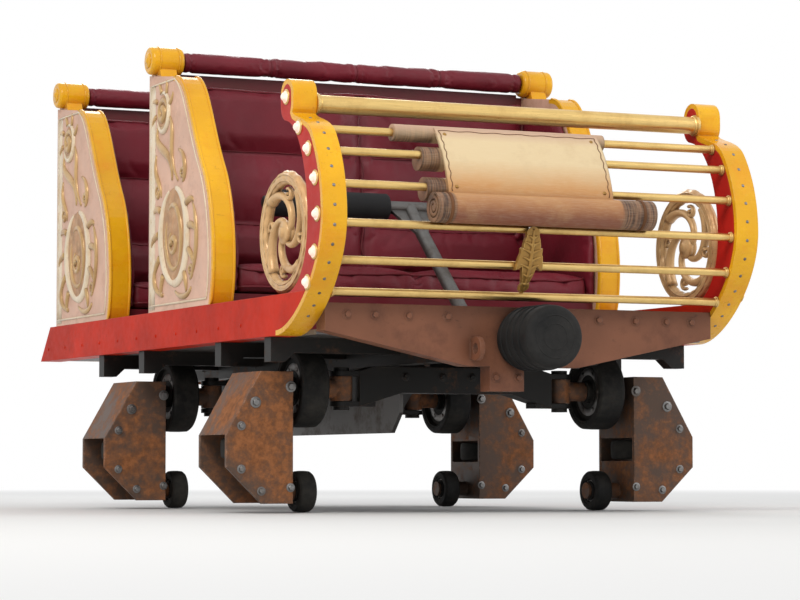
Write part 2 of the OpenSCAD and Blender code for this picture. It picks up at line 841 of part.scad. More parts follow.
// Seat shell: riser, seat board and back board in one bent panel
back_top = panel_z + cap_d / 2 - head_roll_d / 2 - seat_gap;
seat_z = floor_top + seat_up;
module seat_shell(row)
    color(c_maroon)
    difference() {
        across(-x_in, x_in) polygon([
            [row - seat_depth, floor_top], [row - seat_depth, seat_z], [row - shell_t, seat_z],
            [row - shell_t, back_top], [row, back_top], [row, floor_top],
            [row - shell_t, floor_top], [row - shell_t, seat_z - shell_t],
            [row - seat_depth + shell_t, seat_z - shell_t], [row - seat_depth + shell_t, floor_top]
        ]);
        // corners under the roll caps
        both_sides() translate([x_mid - cap_len / 2 - seat_gap, row - shell_t - 1, panel_z - seat_gap])
            cube([cap_len, shell_t + 2, cap_d]);
    }

// Upholstery, between the side pads
x_pad = x_in - pad_t - 2 * seat_gap;
cushion_lip = 12;
soft_round = 20;
module cushion(row)
    color(c_maroon)
    across(-x_pad, x_pad)
    translate([row - seat_depth - cushion_lip, seat_z + seat_gap])
    offset(r = soft_round, $fn = 32) offset(delta = -soft_round)
    square([seat_depth + cushion_lip - shell_t - seat_gap, cushion_t]);

back_under = 25;
back_h = back_top - seat_z - cushion_t - back_under;
module backrest(row)
    color(c_maroon)
    across(-x_pad, x_pad)
    translate([row - shell_t - seat_gap, seat_z + cushion_t + 2 * seat_gap])
    offset(r = soft_round, $fn = 32) offset(delta = -soft_round)
    polygon([[0, 0], [0, back_h], [-back_top_t, back_h], [-back_t, 0]]);

module side_pads(row)
    color(c_maroon)
    both_sides() across(x_in - pad_t - seat_gap, x_in - seat_gap)
    translate([row - shell_t - seat_gap, 0]) intersection() {
        translate([0, sill_top]) offset(delta = -pad_inset) panel_outline();
        translate([-2 * panel_foot, seat_z + seat_gap]) square([2 * panel_foot, panel_h]);
    }

module head_roll(row)
    color(c_maroon)
    rod_x(
        head_roll_d, -x_mid + cap_len / 2 + seat_gap, x_mid - cap_len / 2 - seat_gap,
        row - cap_y, panel_z + cap_d / 2
    );

// Lap bar: a post on a floor hinge with a cross tube, a gusset and two pads
module at_lap(row)
    translate([0, row - lap_hinge, lap_pin_z]) rotate([-lap_slope, 0, 0]) children();

gusset_w = 64;
gusset_h = 110;
module lap_bar(row)
    color(c_steel)
    at_lap(row) difference() {
        union() {
            cylinder(d = lap_tube, h = lap_len);
            rotate([0, 90, 0]) cylinder(d = lap_tube + 8, h = lap_tube, center = true);
            translate([0, 0, lap_len]) rotate([0, 90, 0]) cylinder(d = lap_tube, h = lap_w, center = true);
            along(-web_t / 2, web_t / 2) polygon([
                [-gusset_w, lap_len], [gusset_w, lap_len],
                [lap_tube / 2 - 2, lap_len - gusset_h], [2 - lap_tube / 2, lap_len - gusset_h]
            ]);
        }
        rotate([0, 90, 0]) cylinder(d = pin_d + 2 * pin_gap, h = lap_tube + 2, center = true);
    }

lap_end = 20;
module lap_pads(row)
    color(c_black)
    at_lap(row) both_sides()
    translate([lap_w / 2 - lap_end - lap_pad_len, 0, lap_len]) rotate([0, 90, 0]) difference() {
        cylinder(d = lap_pad_d, h = lap_pad_len);
        translate([0, 0, -1]) cylinder(d = lap_tube + 2 * seat_gap, h = lap_pad_len + 2);
    }

// Brake fin under the frame, beside the dogs
fin_x = -110;
fin_t = 10;
fin_low = rail_top - 10;
fin_end = 60;
module brake_fin()
    color(c_steel)
    across(fin_x - fin_t / 2, fin_x + fin_t / 2) polygon([
        [axle_front_y + fin_end, tube_z + cross_in], [axle_front_y + fin_end, fin_low + 50],
        [axle_front_y + fin_end + 50, fin_low], [axle_rear_y - fin_end - 50, fin_low],
        [axle_rear_y - fin_end, fin_low + 50], [axle_rear_y - fin_end, tube_z + cross_in]
    ]);

// Hinged dogs under the frame: an arm with a hooked tip
dog_r = 20;
tip_r = 12;
module dog(y, reach, drop)
    color(c_steel)
    across(-dog_t / 2, dog_t / 2) translate([y, dog_pin_z]) difference() {
        hull() {
            circle(r = dog_r);
            translate([reach, -drop]) circle(r = tip_r, $fn = 32);
            translate([reach, -drop])
                polygon([[-4, 6], [tip_r + 12, -tip_r], [tip_r + 8, -2 * tip_r], [0, -tip_r - 8]]);
        }
        circle(d = pin_d + 2 * pin_gap);
    }

module chain_dog() dog(chain_dog_y, 70, 76);

module rollback_dog() dog(rollback_dog_y, 86, 66);

// Carrier, drawn about the rail's centre line with x outward
guide_u = rail_d / 2 + rail_gap + guide_d / 2;
plate_u = rail_d / 2 + rail_gap + 6;
plate_y = guide_d / 2 + 6;
plate_low = 22;
carrier_up = 37;
plate_high = axle_z + carrier_up;
upstop_z = upstop_d / 2;
shelf_gap = 5;
shelf_up = rail_z + guide_w / 2 + shelf_gap;
shelf_low = rail_z - guide_w / 2 - shelf_gap - plate_t;
shelf_reach = guide_u + stub_d / 2 + 8;
shoulder_w = 8;
skin_top = [carrier_top, plate_high];
skin_low = [carrier_reach, rail_z + 31];

module carrier_plate_2d()
    polygon([
        [plate_u, plate_high], skin_top, skin_low,
        [carrier_reach, rail_z - 45], [carrier_reach - 90, plate_low], [plate_u, plate_low]
    ]);

// A fixed axle from x0 outward for a wheel of width w, with a shoulder on each side of the wheel
module axle(d, w, x0, z) {
    rod_x(d, x0, plate_u + plate_t + shoulder_w, 0, z);
    rod_x(d + 2 * shoulder_w, x0, -w / 2 - swing_gap, 0, z);
    rod_x(d + 2 * shoulder_w, w / 2 + swing_gap, plate_u + plate_t + shoulder_w, 0, z);
}

module carrier()
    color(c_rust)
    difference() {
        union() {
            // front and rear plate
            for (y = [-plate_y - plate_t, plate_y]) along(y, y + plate_t) carrier_plate_2d();
            // slanted outer skin between them
            along(-plate_y - 1, plate_y + 1) polygon([
                skin_top, skin_low, skin_low - [plate_t, 0], skin_top - [plate_t, 0]
            ]);
            // wall beside the running wheel, and beside the up-stop wheel
            for (z = [[shelf_up, plate_high], [plate_low, shelf_low + plate_t]])
                translate([plate_u, -plate_y - 1, z[0]]) cube([plate_t, 2 * plate_y + 2, z[1] - z[0]]);
            // shelves over and under the guide wheel
            for (z = [shelf_low, shelf_up])
                translate([plate_u, -plate_y - 1, z])
                cube([shelf_reach - plate_u, 2 * plate_y + 2, plate_t]);
            // axles
            axle(axle_d, run_w, -kingpin_in, axle_z);
            axle(stub_d, upstop_w, -upstop_w / 2 - shoulder_w, upstop_z);
            translate([guide_u, 0, shelf_low - shoulder_w])
                cylinder(d = stub_d, h = shelf_up - shelf_low + plate_t + 2 * shoulder_w);
            for (z = [shelf_low + plate_t, shelf_up - shelf_gap + swing_gap])
                translate([guide_u, 0, z]) cylinder(d = stub_d + shoulder_w, h = shelf_gap - swing_gap);
            // kingpin boss
            translate([-kingpin_in, 0, axle_z - boss_h / 2]) cylinder(d = boss_d, h = boss_h);
        }
        translate([-kingpin_in, 0, axle_z - boss_h]) cylinder(d = kingpin_d + 2 * pin_gap, h = 2 * boss_h);
    }

// A wheel round the Z axis: hub with a bore for a pin of diameter pin, dished web, rim and tread
hub_w = 12;
module wheel(d, w, pin) {
    rim_r = d / 2 - tread_t;
    dish = w / 5;
    side = [
        [pin / 2 + pin_gap, 0], [pin / 2 + hub_w - 2, 0], [pin / 2 + hub_w, 2], [pin / 2 + hub_w, dish],
        [rim_r - 7, dish], [rim_r - 5, 2], [rim_r, 2], [rim_r + 1, 0],
        [d / 2 - 5, 0], [d / 2 - 1, 5], [d / 2, w / 3]
    ];
    rotate_extrude() polygon(concat(
        [for (p = side) [p[0], p[1] - w / 2]],
        [for (p = reversed(side)) [p[0], w / 2 - p[1]]]
    ));
}

module run_wheel()
    color(c_black)
    translate([0, 0, axle_z]) rotate([0, 90, 0]) wheel(run_d, run_w, axle_d);

module guide_wheel()
    color(c_black)
    translate([guide_u, 0, rail_z]) wheel(guide_d, guide_w, stub_d);

module upstop_wheel()
    color(c_black)
    translate([0, 0, upstop_z]) rotate([0, 90, 0]) wheel(upstop_d, upstop_w, stub_d);

// Puts a corner's gear at its axle, on the left side or mirrored to the right
module corner(y, left = true)
    mirror([left ? 0 : 1, 0, 0]) translate([gauge / 2, y, 0]) children();

chassis_frame();
outriggers();
floor_pan();
front_beam();
rear_beam();
buffer();
sill();  // sill_left
mirror([1, 0, 0]) sill();  // sill_right
hoop();  // hoop_left
mirror([1, 0, 0]) hoop();  // hoop_right
hoop_rims();
hoop_lamps();
fretwork();  // fretwork_left
mirror([1, 0, 0]) fretwork();  // fretwork_right
grille_bars();
top_tube();
sign_scroll();
sign_ornament();
side_panel(row_front);  // panel_front_left
mirror([1, 0, 0]) side_panel(row_front);  // panel_front_right
side_panel(row_rear);  // panel_rear_left
mirror([1, 0, 0]) side_panel(row_rear);  // panel_rear_right
edge_strips(row_front);  // edge_strips_front
edge_strips(row_rear);  // edge_strips_rear
roll_caps(row_front);  // roll_caps_front
roll_caps(row_rear);  // roll_caps_rear
seat_shell(row_front);  // seat_shell_front
seat_shell(row_rear);  // seat_shell_rear
cushion(row_front);  // cushion_front
cushion(row_rear);  // cushion_rear
backrest(row_front);  // backrest_front
backrest(row_rear);  // backrest_rear
side_pads(row_front);  // side_pads_front
side_pads(row_rear);  // side_pads_rear
head_roll(row_front);  // head_roll_front
head_roll(row_rear);  // head_roll_rear
lap_bar(row_front);  // lap_bar_front
lap_bar(row_rear);  // lap_bar_rear
lap_pads(row_front);  // lap_pads_front
lap_pads(row_rear);  // lap_pads_rear
brake_fin();
chain_dog();
rollback_dog();
corner(axle_front_y) carrier();  // carrier_front_left
corner(axle_front_y, left = false) carrier();  // carrier_front_right
corner(axle_rear_y) carrier();  // carrier_rear_left
corner(axle_rear_y, left = false) carrier();  // carrier_rear_right
corner(axle_front_y) run_wheel();  // run_wheel_front_left
corner(axle_front_y, left = false) run_wheel();  // run_wheel_front_right
corner(axle_rear_y) run_wheel();  // run_wheel_rear_left
corner(axle_rear_y, left = false) run_wheel();  // run_wheel_rear_right
corner(axle_front_y) guide_wheel();  // guide_wheel_front_left
corner(axle_front_y, left = false) guide_wheel();  // guide_wheel_front_right
corner(axle_rear_y) guide_wheel();  // guide_wheel_rear_left
corner(axle_rear_y, left = false) guide_wheel();  // guide_wheel_rear_right
corner(axle_front_y) upstop_wheel();  // upstop_wheel_front_left
corner(axle_front_y, left = false) upstop_wheel();  // upstop_wheel_front_right
corner(axle_rear_y) upstop_wheel();  // upstop_wheel_rear_left
corner(axle_rear_y, left = false) upstop_wheel();  // upstop_wheel_rear_right
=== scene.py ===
"""Roller coaster car in fairground dress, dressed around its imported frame. All lengths are metres."""
import json
import math

import bmesh
import bpy
from mathutils import Matrix, Vector
from mathutils.bvhtree import BVHTree


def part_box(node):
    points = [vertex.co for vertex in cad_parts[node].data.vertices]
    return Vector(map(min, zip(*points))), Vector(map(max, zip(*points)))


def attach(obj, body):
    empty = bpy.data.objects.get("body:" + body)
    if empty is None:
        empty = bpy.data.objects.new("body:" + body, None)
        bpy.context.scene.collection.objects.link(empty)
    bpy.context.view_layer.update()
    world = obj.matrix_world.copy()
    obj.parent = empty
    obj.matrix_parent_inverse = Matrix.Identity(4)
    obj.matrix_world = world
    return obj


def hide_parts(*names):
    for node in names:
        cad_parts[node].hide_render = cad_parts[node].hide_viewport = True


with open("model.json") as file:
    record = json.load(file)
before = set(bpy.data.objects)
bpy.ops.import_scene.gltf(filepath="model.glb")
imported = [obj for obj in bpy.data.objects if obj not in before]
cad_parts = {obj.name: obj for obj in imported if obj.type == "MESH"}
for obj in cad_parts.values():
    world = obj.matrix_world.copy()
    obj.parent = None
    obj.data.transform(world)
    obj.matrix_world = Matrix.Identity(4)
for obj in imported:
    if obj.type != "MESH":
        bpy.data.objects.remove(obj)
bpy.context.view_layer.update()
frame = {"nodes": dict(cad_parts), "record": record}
NODES = frame["nodes"]
scene = bpy.context.scene

# Places, as in the part's source
ROWS = {"front": 0.125, "rear": 0.890}
SILL_TOP = 0.508
X_IN, X_OUT = 0.510, 0.570
X_MID = (X_IN + X_OUT) / 2
HOOP = Vector((0.0, -0.690, 0.674))
HOOP_R = 0.325
AXLE_Y = {"front": -0.502, "rear": 0.370}
SHEET_X0, SHEET_X1, SHEET_R = -0.250, 0.180, 0.3186
SIDES = {"left": 1, "right": -1}
CORNERS = [(e, s) for e in AXLE_Y for s in SIDES]


def linked(name, data):
    """A new object in the scene."""
    obj = bpy.data.objects.new(name, data)
    scene.collection.objects.link(obj)
    return obj


# ---------------------------------------------------------------- camera and light
def look(obj, target):
    """Turns a camera or light towards a point."""
    obj.rotation_euler = (Vector(target) - obj.location).to_track_quat("-Z", "Y").to_euler()


EYE = Vector((-3.114, -6.915, 0.101))
FORWARD = Vector((0.41040, 0.91190, -0.00471))
RIGHT = Vector((0.9119, -0.4104, 0.0))
UP = RIGHT.cross(FORWARD)
FOCAL_PX, AIM_PX, WIDTH_PX = 720.0, (8.0, 46.0), 200.0  # in the photograph's pixels
SENSOR = 36.0
cam = linked("camera", bpy.data.cameras.new("camera"))
cam.location = EYE
cam.data.lens = SENSOR * FOCAL_PX / WIDTH_PX
cam.data.sensor_width = SENSOR
cam.data.clip_end = 100.0
look(cam, EYE + FORWARD * FOCAL_PX + RIGHT * AIM_PX[0] + UP * AIM_PX[1])
scene.camera = cam


def area_light(name, location, size, watts, color):
    data = bpy.data.lights.new(name, "AREA")
    data.shape = "RECTANGLE"
    data.size, data.size_y = size
    data.energy = watts
    data.color = color
    obj = linked(name, data)
    obj.location = location
    look(obj, MIDDLE)


MIDDLE = (0.0, 0.0, 0.6)
area_light("key", (-3.2, -3.6, 4.2), (2.6, 2.0), 150, (1.0, 0.98, 0.95))
area_light("fill", (3.8, -2.2, 2.4), (2.6, 2.0), 50, (0.95, 0.98, 1.0))
area_light("back", (1.0, 4.2, 3.6), (2.6, 1.6), 70, (1.0, 1.0, 1.0))

world = bpy.data.worlds.new("world")
scene.world = world
world.use_nodes = True


class Tree:
    """Short ways to build a node tree."""

    def __init__(self, tree):
        self.tree = tree
        tree.nodes.clear()

    def add(self, kind, inputs=None, **props):
        """A node with its properties set and its inputs set or linked."""
        node = self.tree.nodes.new(kind)
        for key, value in props.items():
            setattr(node, key, value)
        for key, value in (inputs or {}).items():
            self.put(node.inputs[key], value)
        return node

    def put(self, socket, value):
        if isinstance(value, bpy.types.NodeSocket):
            self.tree.links.new(value, socket)
        elif isinstance(value, tuple) and len(value) == 3 and socket.type == "RGBA":
            socket.default_value = (*value, 1.0)
        else:
            socket.default_value = value

    def math(self, op, a, b=0.0):
        return self.add("ShaderNodeMath", {0: a, 1: b}, operation=op).outputs[0]

    def mul(self, a, b):
        return self.math("MULTIPLY", a, b)

    def plus(self, a, b):
        return self.math("ADD", a, b)

    def vector(self, op, a, b=(0, 0, 0)):
        node = self.add("ShaderNodeVectorMath", {0: a, 1: b}, operation=op)
        return node.outputs["Value" if op in ("DOT_PRODUCT", "LENGTH") else "Vector"]

    def span(self, value, lo, hi, to_lo=0.0, to_hi=1.0):
        """A value's range brought to another, clamped."""
        return self.add("ShaderNodeMapRange", {0: value, 1: lo, 2: hi, 3: to_lo, 4: to_hi}).outputs[0]

    def level(self, noise, to_lo=0.0, to_hi=1.0):
        """A noise, whose usual values are 0.3 to 0.7, brought to a range."""
        return self.span(noise, 0.3, 0.7, to_lo, to_hi)

    def mix(self, factor, a, b):
        return self.add("ShaderNodeMix", {0: factor, 6: a, 7: b}, data_type="RGBA").outputs[2]

    def over(self, base, color, mask, by):
        """A colour laid over the base where the mask is 1, as strong as by."""
        return self.mix(self.mul(mask, by), base, color)

    def noise(self, coords, scale, detail, rough=0.55, stretch=None):
        if stretch:
            coords = self.vector("MULTIPLY", coords, stretch)
        return self.add("ShaderNodeTexNoise", {
            "Vector": coords, "Scale": scale, "Detail": detail, "Roughness": rough}).outputs[0]

    def bump(self, strength, distance, height, normal=None):
        """The normal that a height gives on top of another normal."""
        inputs = {"Strength": strength, "Distance": distance, "Height": height}
        if normal is not None:
            inputs["Normal"] = normal
        return self.add("ShaderNodeBump", inputs).outputs[0]

    def shade(self, inputs):
        """Ends the tree with a Principled shader of these inputs."""
        bsdf = self.add("ShaderNodeBsdfPrincipled", inputs)
        self.add("ShaderNodeOutputMaterial", {0: bsdf.outputs[0]})

    def on_show(self):
        """1 for the rays that see the background, which is white to them."""
        path = self.add("ShaderNodeLightPath").outputs
        seen = self.math("MAXIMUM", path["Is Camera Ray"], path["Is Glossy Ray"])
        return self.math("MAXIMUM", seen, path["Is Transmission Ray"])


def build_world():
    t = Tree(world.node_tree)
    soft = t.add("ShaderNodeBackground", {"Color": (0.93, 0.96, 1.0), "Strength": 0.55})
    white = t.add("ShaderNodeBackground", {"Color": (1.0, 1.0, 1.0), "Strength": 1.0})
    both = t.add("ShaderNodeMixShader", {0: t.on_show(), 1: soft.outputs[0], 2: white.outputs[0]})
    t.add("ShaderNodeOutputWorld", {0: both.outputs[0]})


build_world()


# ---------------------------------------------------------------- materials
MATERIALS = {}


def material(name):
    """The tree of a new material, kept in MATERIALS, and the object's own coordinates."""
    MATERIALS[name] = bpy.data.materials.new(name)
    MATERIALS[name].use_nodes = True
    t = Tree(MATERIALS[name].node_tree)
    return t, t.add("ShaderNodeTexCoord").outputs["Object"]


def scaled(color, k):
    return tuple(min(1.0, c * k) for c in color)


def edges_dirt_and_shade(t, radius, noise_value):
    """The rounded normal, a mask of rubbed edges, and a mask of hollows from ambient occlusion, which the materials
    darken as dirty patches and painted shade.
    """
    rounded = t.add("ShaderNodeBevel", {"Radius": radius}, samples=4).outputs[0]
    normal = t.add("ShaderNodeNewGeometry").outputs["Normal"]
    edge = t.mul(t.span(t.vector("DOT_PRODUCT", rounded, normal), 0.995, 0.86), t.span(noise_value, 0.46, 0.62))
    # ambient occlusion: hollows, which the materials darken as painted shade and dirty patches
    hollow = t.add("ShaderNodeAmbientOcclusion", {"Distance": 0.05}, samples=4)
    grime_and_shade = t.mul(t.span(hollow.outputs["AO"], 0.85, 0.25), t.span(noise_value, 0.25, 0.65, 0.35, 1.0))
    return rounded, edge, grime_and_shade


def painted(name, color, rough=0.36, coat=0.12, shine=0.22, vary=0.16, wear=(0.75, 0.70, 0.62), wear_and_highlight_by=0.6,
            dirt_and_shade=(0.10, 0.07, 0.05), grime_and_shade_by=0.65, edge=0.0022, metallic=0.0, mottle=5.0, second=None, second_by=0.0):
    """Paint with uneven colour, scuffs, rubbed edges, hollows darkened as dirty patches and painted shade, and
    patches of a second colour; on the carved reliefs the pale edge colour is a painted highlight.
    """
    t, coords = material(name)
    broad = t.noise(coords, mottle, 4.0)
    fine = t.noise(coords, 42.0, 5.0, 0.65)
    normal, edge_mask, grime_and_shade = edges_dirt_and_shade(t, edge, fine)
    base = t.mix(t.level(broad), scaled(color, 1 - vary), scaled(color, 1 + vary))
    if second:
        patch = t.span(t.noise(coords, mottle * 1.7, 6.0, 0.7), 0.5, 0.66)
        base = t.over(base, second, patch, second_by)
    scuffs = t.noise(coords, 95.0, 5.0, 0.75, (0.6, 1.0, 1.0))
    patchy = t.span(t.noise(coords, 7.0, 4.0), 0.42, 0.62)
    base = t.over(base, dirt_and_shade, t.mul(t.span(scuffs, 0.60, 0.68), patchy), 0.5)
    # painted shade, with dirty patches: hollows darkened by the ambient occlusion mask
    base = t.over(base, dirt_and_shade, grime_and_shade, grime_and_shade_by)
    # rubbed edges; where the edge colour is pale, as on the carved reliefs, it is a painted highlight
    base = t.over(base, wear, edge_mask, wear_and_highlight_by)
    roughness = t.plus(t.level(fine, rough - 0.08, rough + 0.12), t.mul(edge_mask, 0.2))
    bump = t.bump(0.16, 0.001, t.noise(coords, 160.0, 2.0), normal)
    t.shade({
        "Base Color": base, "Roughness": roughness, "Metallic": metallic, "Specular IOR Level": shine,
        "Coat Weight": coat, "Coat Roughness": 0.12, "Normal": bump})


def metal(name, color, rough, tarnish, tarnish_by):
    """Metal with fine streaks and patches of tarnish."""
    t, coords = material(name)
    patches = t.noise(coords, 9.0, 6.0, 0.7)
    lines = t.noise(coords, 14.0, 3.0, stretch=(1.0, 30.0, 30.0))
    normal, _, grime_and_shade = edges_dirt_and_shade(t, 0.0015, patches)
    base = t.mix(t.level(lines), scaled(color, 0.9), scaled(color, 1.08))
    dull = t.span(patches, 0.48, 0.7)
    base = t.over(base, tarnish, dull, tarnish_by)
    base = t.over(base, scaled(tarnish, 0.5), grime_and_shade, 0.6)
    roughness = t.plus(t.level(lines, rough - 0.05, rough + 0.1), t.mul(dull, 0.25))
    bump = t.bump(0.05, 0.0005, lines, normal)
    t.shade({
        "Base Color": base, "Roughness": roughness, "Metallic": 1.0, "Normal": bump})


def leather(name, color):
    """Grained leather with creases, a soft sheen, and seams darkened as dirty patches and painted shade."""
    t, coords = material(name)
    grain = t.add("ShaderNodeTexVoronoi", {"Vector": coords, "Scale": 480.0}, feature="DISTANCE_TO_EDGE")
    creases = t.noise(coords, 26.0, 5.0, 0.6, (1.0, 1.6, 1.2))
    broad = t.noise(coords, 5.0, 3.0)
    normal, edge_mask, grime_and_shade = edges_dirt_and_shade(t, 0.003, creases)
    base = t.mix(t.level(broad), scaled(color, 0.8), scaled(color, 1.25))
    # painted shade, with dirty patches: seams and hollows darkened
    base = t.over(base, scaled(color, 0.25), grime_and_shade, 0.55)
    base = t.over(base, (0.52, 0.22, 0.20), edge_mask, 0.35)
    height = t.plus(t.mul(t.span(grain.outputs["Distance"], 0.0, 0.25), 0.35), creases)
    bump = t.bump(0.35, 0.002, height, normal)
    t.shade({
        "Base Color": base, "Roughness": t.level(creases, 0.34, 0.54), "Specular IOR Level": 0.3,
        "Sheen Weight": 0.04, "Sheen Roughness": 0.4, "Coat Weight": 0.06, "Coat Roughness": 0.25,
        "Normal": bump})


def rubber(name, color, dust, dust_by, bump_by=0.2):
    """Matt rubber with dust and scuffs."""
    t, coords = material(name)
    broad = t.noise(coords, 11.0, 6.0, 0.7)
    fine = t.noise(coords, 210.0, 3.0)
    normal, edge_mask, _ = edges_dirt_and_shade(t, 0.002, broad)
    base = t.mix(t.mul(t.span(broad, 0.42, 0.72), dust_by), color, dust)
    base = t.over(base, scaled(dust, 0.8), edge_mask, 0.5)
    bump = t.bump(bump_by, 0.001, fine, normal)
    t.shade({
        "Base Color": base, "Roughness": t.level(broad, 0.6, 0.85), "Specular IOR Level": 0.2,
        "Normal": bump})


PLATE_CELL = 0.024


def chequer_plate(name):
    """Aluminium plate with raised lozenges that turn from cell to cell, near black on faces that turn down, as
    painted shade over a grimy underside.
    """
    t, coords = material(name)
    cells = t.vector("MULTIPLY", coords, (1 / PLATE_CELL,) * 3)
    x, y, _ = t.add("ShaderNodeSeparateXYZ", {0: cells}).outputs
    odd = t.math("MODULO", t.math("ABSOLUTE", t.plus(t.math("FLOOR", x), t.math("FLOOR", y))), 2.0)
    u = t.math("SUBTRACT", t.math("FRACT", x), 0.5)
    v = t.math("SUBTRACT", t.math("FRACT", y), 0.5)
    even = t.math("SUBTRACT", 1.0, odd)
    along = t.plus(t.mul(odd, u), t.mul(even, v))
    over = t.plus(t.mul(odd, v), t.mul(even, u))
    shape = t.plus(t.mul(t.math("ABSOLUTE", along), 2.2), t.mul(t.math("ABSOLUTE", over), 6.5))
    lozenge = t.span(shape, 1.0, 0.7)
    wear = t.noise(coords, 7.0, 6.0, 0.7)
    base = t.mix(t.span(wear, 0.35, 0.7), (0.30, 0.30, 0.31), (0.46, 0.46, 0.46))
    base = t.over(base, (0.62, 0.62, 0.61), lozenge, 0.5)
    # painted shade over a grimy underside: faces that turn down go near black
    facing_up = t.add("ShaderNodeSeparateXYZ", {0: t.add("ShaderNodeNewGeometry").outputs["Normal"]}).outputs[2]
    base = t.mix(t.span(facing_up, 0.2, -0.2, 0.0, 0.85), base, (0.055, 0.047, 0.040))
    bump = t.bump(0.8, 0.002, lozenge)
    t.shade({
        "Base Color": base, "Roughness": t.level(wear, 0.35, 0.6), "Metallic": 0.85,
        "Normal": bump})


def rusty(name, paint, rust, rust_at, edge_wear_and_highlight=(0.10, 0.08, 0.07), edge=0.002):
    """Worn paint over steel, with rust that breaks through in patches and along edges, an edge colour that is a
    painted highlight where it is pale, and hollows darkened near black as painted shade with dirty patches.
    """
    t, coords = material(name)
    broad = t.noise(coords, 6.0, 7.0, 0.72)
    fine = t.noise(coords, 60.0, 6.0, 0.7)
    normal, edge_mask, grime_and_shade = edges_dirt_and_shade(t, edge, fine)
    spread = t.span(t.plus(t.mul(broad, 0.75), t.mul(fine, 0.25)), *rust_at)
    patch = t.math("MAXIMUM", spread, t.mul(edge_mask, 0.8))
    base = t.mix(patch, paint, t.mix(t.span(fine, 0.35, 0.65), rust, scaled(rust, 1.9)))
    # rubbed edges in the edge colour; where it is pale, a painted highlight
    base = t.over(base, edge_wear_and_highlight, edge_mask, 0.55)
    # painted shade, with dirty patches: hollows darkened near black
    base = t.over(base, (0.035, 0.028, 0.022), grime_and_shade, 0.75)
    bump = t.bump(0.35, 0.0015, t.mul(patch, fine), normal)
    t.shade({
        "Base Color": base, "Roughness": t.span(patch, 0.0, 1.0, 0.46, 0.85), "Metallic": 0.1,
        "Specular IOR Level": 0.25, "Normal": bump})


def parchment(name):
    """Painted parchment with fibres and stains: light in the middle, browner and then dark towards the lower roll,
    which is the parchment's colour and painted shade; the roll ends beyond the sheet take painted shade.
    """
    t, coords = material(name)
    x, _, z = t.add("ShaderNodeSeparateXYZ", {0: coords}).outputs
    stains = t.noise(coords, 8.0, 6.0, 0.7)
    fibres = t.noise(coords, 40.0, 4.0, stretch=(1.0, 12.0, 12.0))
    normal, edge_mask, grime_and_shade = edges_dirt_and_shade(t, 0.006, stains)
    # painted light and shade: the colour runs light in the middle, browner lower down and dark at the lower roll
    wavy = t.plus(z, t.mul(stains, 0.04))
    base = t.mix(t.span(wavy, 0.838, 0.775), (0.82, 0.63, 0.37), (0.66, 0.34, 0.13))
    base = t.mix(t.span(wavy, 0.772, 0.700), base, (0.27, 0.095, 0.050))
    base = t.over(base, (0.60, 0.36, 0.26), t.span(z, 0.865, 0.893), 0.8)
    # painted shade: the roll ends beyond the sheet's sides, dark with hatched streaks
    ends = t.math("MAXIMUM", t.span(x, SHEET_X0 + 0.001, SHEET_X0 - 0.004),
                  t.span(x, SHEET_X1 - 0.001, SHEET_X1 + 0.006))
    hatch = t.noise(coords, 4.0, 2.0, stretch=(60.0, 3.0, 3.0))
    shaded_roll_ends = t.mix(t.span(hatch, 0.40, 0.60), (0.085, 0.045, 0.030), (0.26, 0.135, 0.075))
    base = t.over(base, shaded_roll_ends, ends, t.span(z, 0.90, 0.86))
    base = t.over(base, (0.56, 0.36, 0.18), t.span(stains, 0.5, 0.72), 0.35)
    base = t.over(base, (0.92, 0.80, 0.60), t.span(fibres, 0.45, 0.7), 0.10)
    base = t.over(base, (0.33, 0.17, 0.07), edge_mask, 0.7)
    # painted shade, with dirty patches, in the hollows
    base = t.over(base, (0.13, 0.07, 0.03), grime_and_shade, 0.75)
    bump = t.bump(0.08, 0.001, fibres, normal)
    t.shade({
        "Base Color": base, "Roughness": t.level(stains, 0.38, 0.6), "Specular IOR Level": 0.25,
        "Coat Weight": 0.12, "Coat Roughness": 0.25, "Normal": bump})


def lamp_glass(name):
    """Frosted warm glass that glows a little."""
    t, coords = material(name)
    cloud = t.noise(coords, 70.0, 3.0)
    base = t.mix(t.span(cloud, 0.35, 0.65), (1.0, 0.84, 0.72), (0.96, 0.66, 0.52))
    t.shade({
        "Base Color": base, "Roughness": t.level(cloud, 0.12, 0.28), "Emission Color": base,
        "Emission Strength": 0.35, "Coat Weight": 0.6})


painted("red_paint", (0.62, 0.030, 0.010), coat=0.0, shine=0.04, second=(0.44, 0.025, 0.012),
        second_by=0.5, dirt_and_shade=(0.12, 0.04, 0.025), wear=(0.78, 0.42, 0.30), wear_and_highlight_by=0.5)
painted("dark_red_paint", (0.52, 0.018, 0.011), coat=0.04, shine=0.12, wear=(0.72, 0.30, 0.18), wear_and_highlight_by=0.5)
# yellow_paint: its orange hollows are painted shade with dirty patches
painted("yellow_paint", (0.95, 0.45, 0.010), rough=0.28, coat=0.30, wear=(0.98, 0.78, 0.36),
        wear_and_highlight_by=0.5, dirt_and_shade=(0.42, 0.13, 0.01), grime_and_shade_by=0.8, second=(0.88, 0.33, 0.006), second_by=0.6)
# carved_cream: its warm brown hollows round the carvings are painted shade with dirty patches
painted("carved_cream", (0.80, 0.49, 0.35), rough=0.42, vary=0.10, wear=(0.94, 0.82, 0.66),
        wear_and_highlight_by=0.8, dirt_and_shade=(0.34, 0.15, 0.07), grime_and_shade_by=1.0, mottle=9.0,
        second=(0.62, 0.34, 0.22), second_by=0.6)
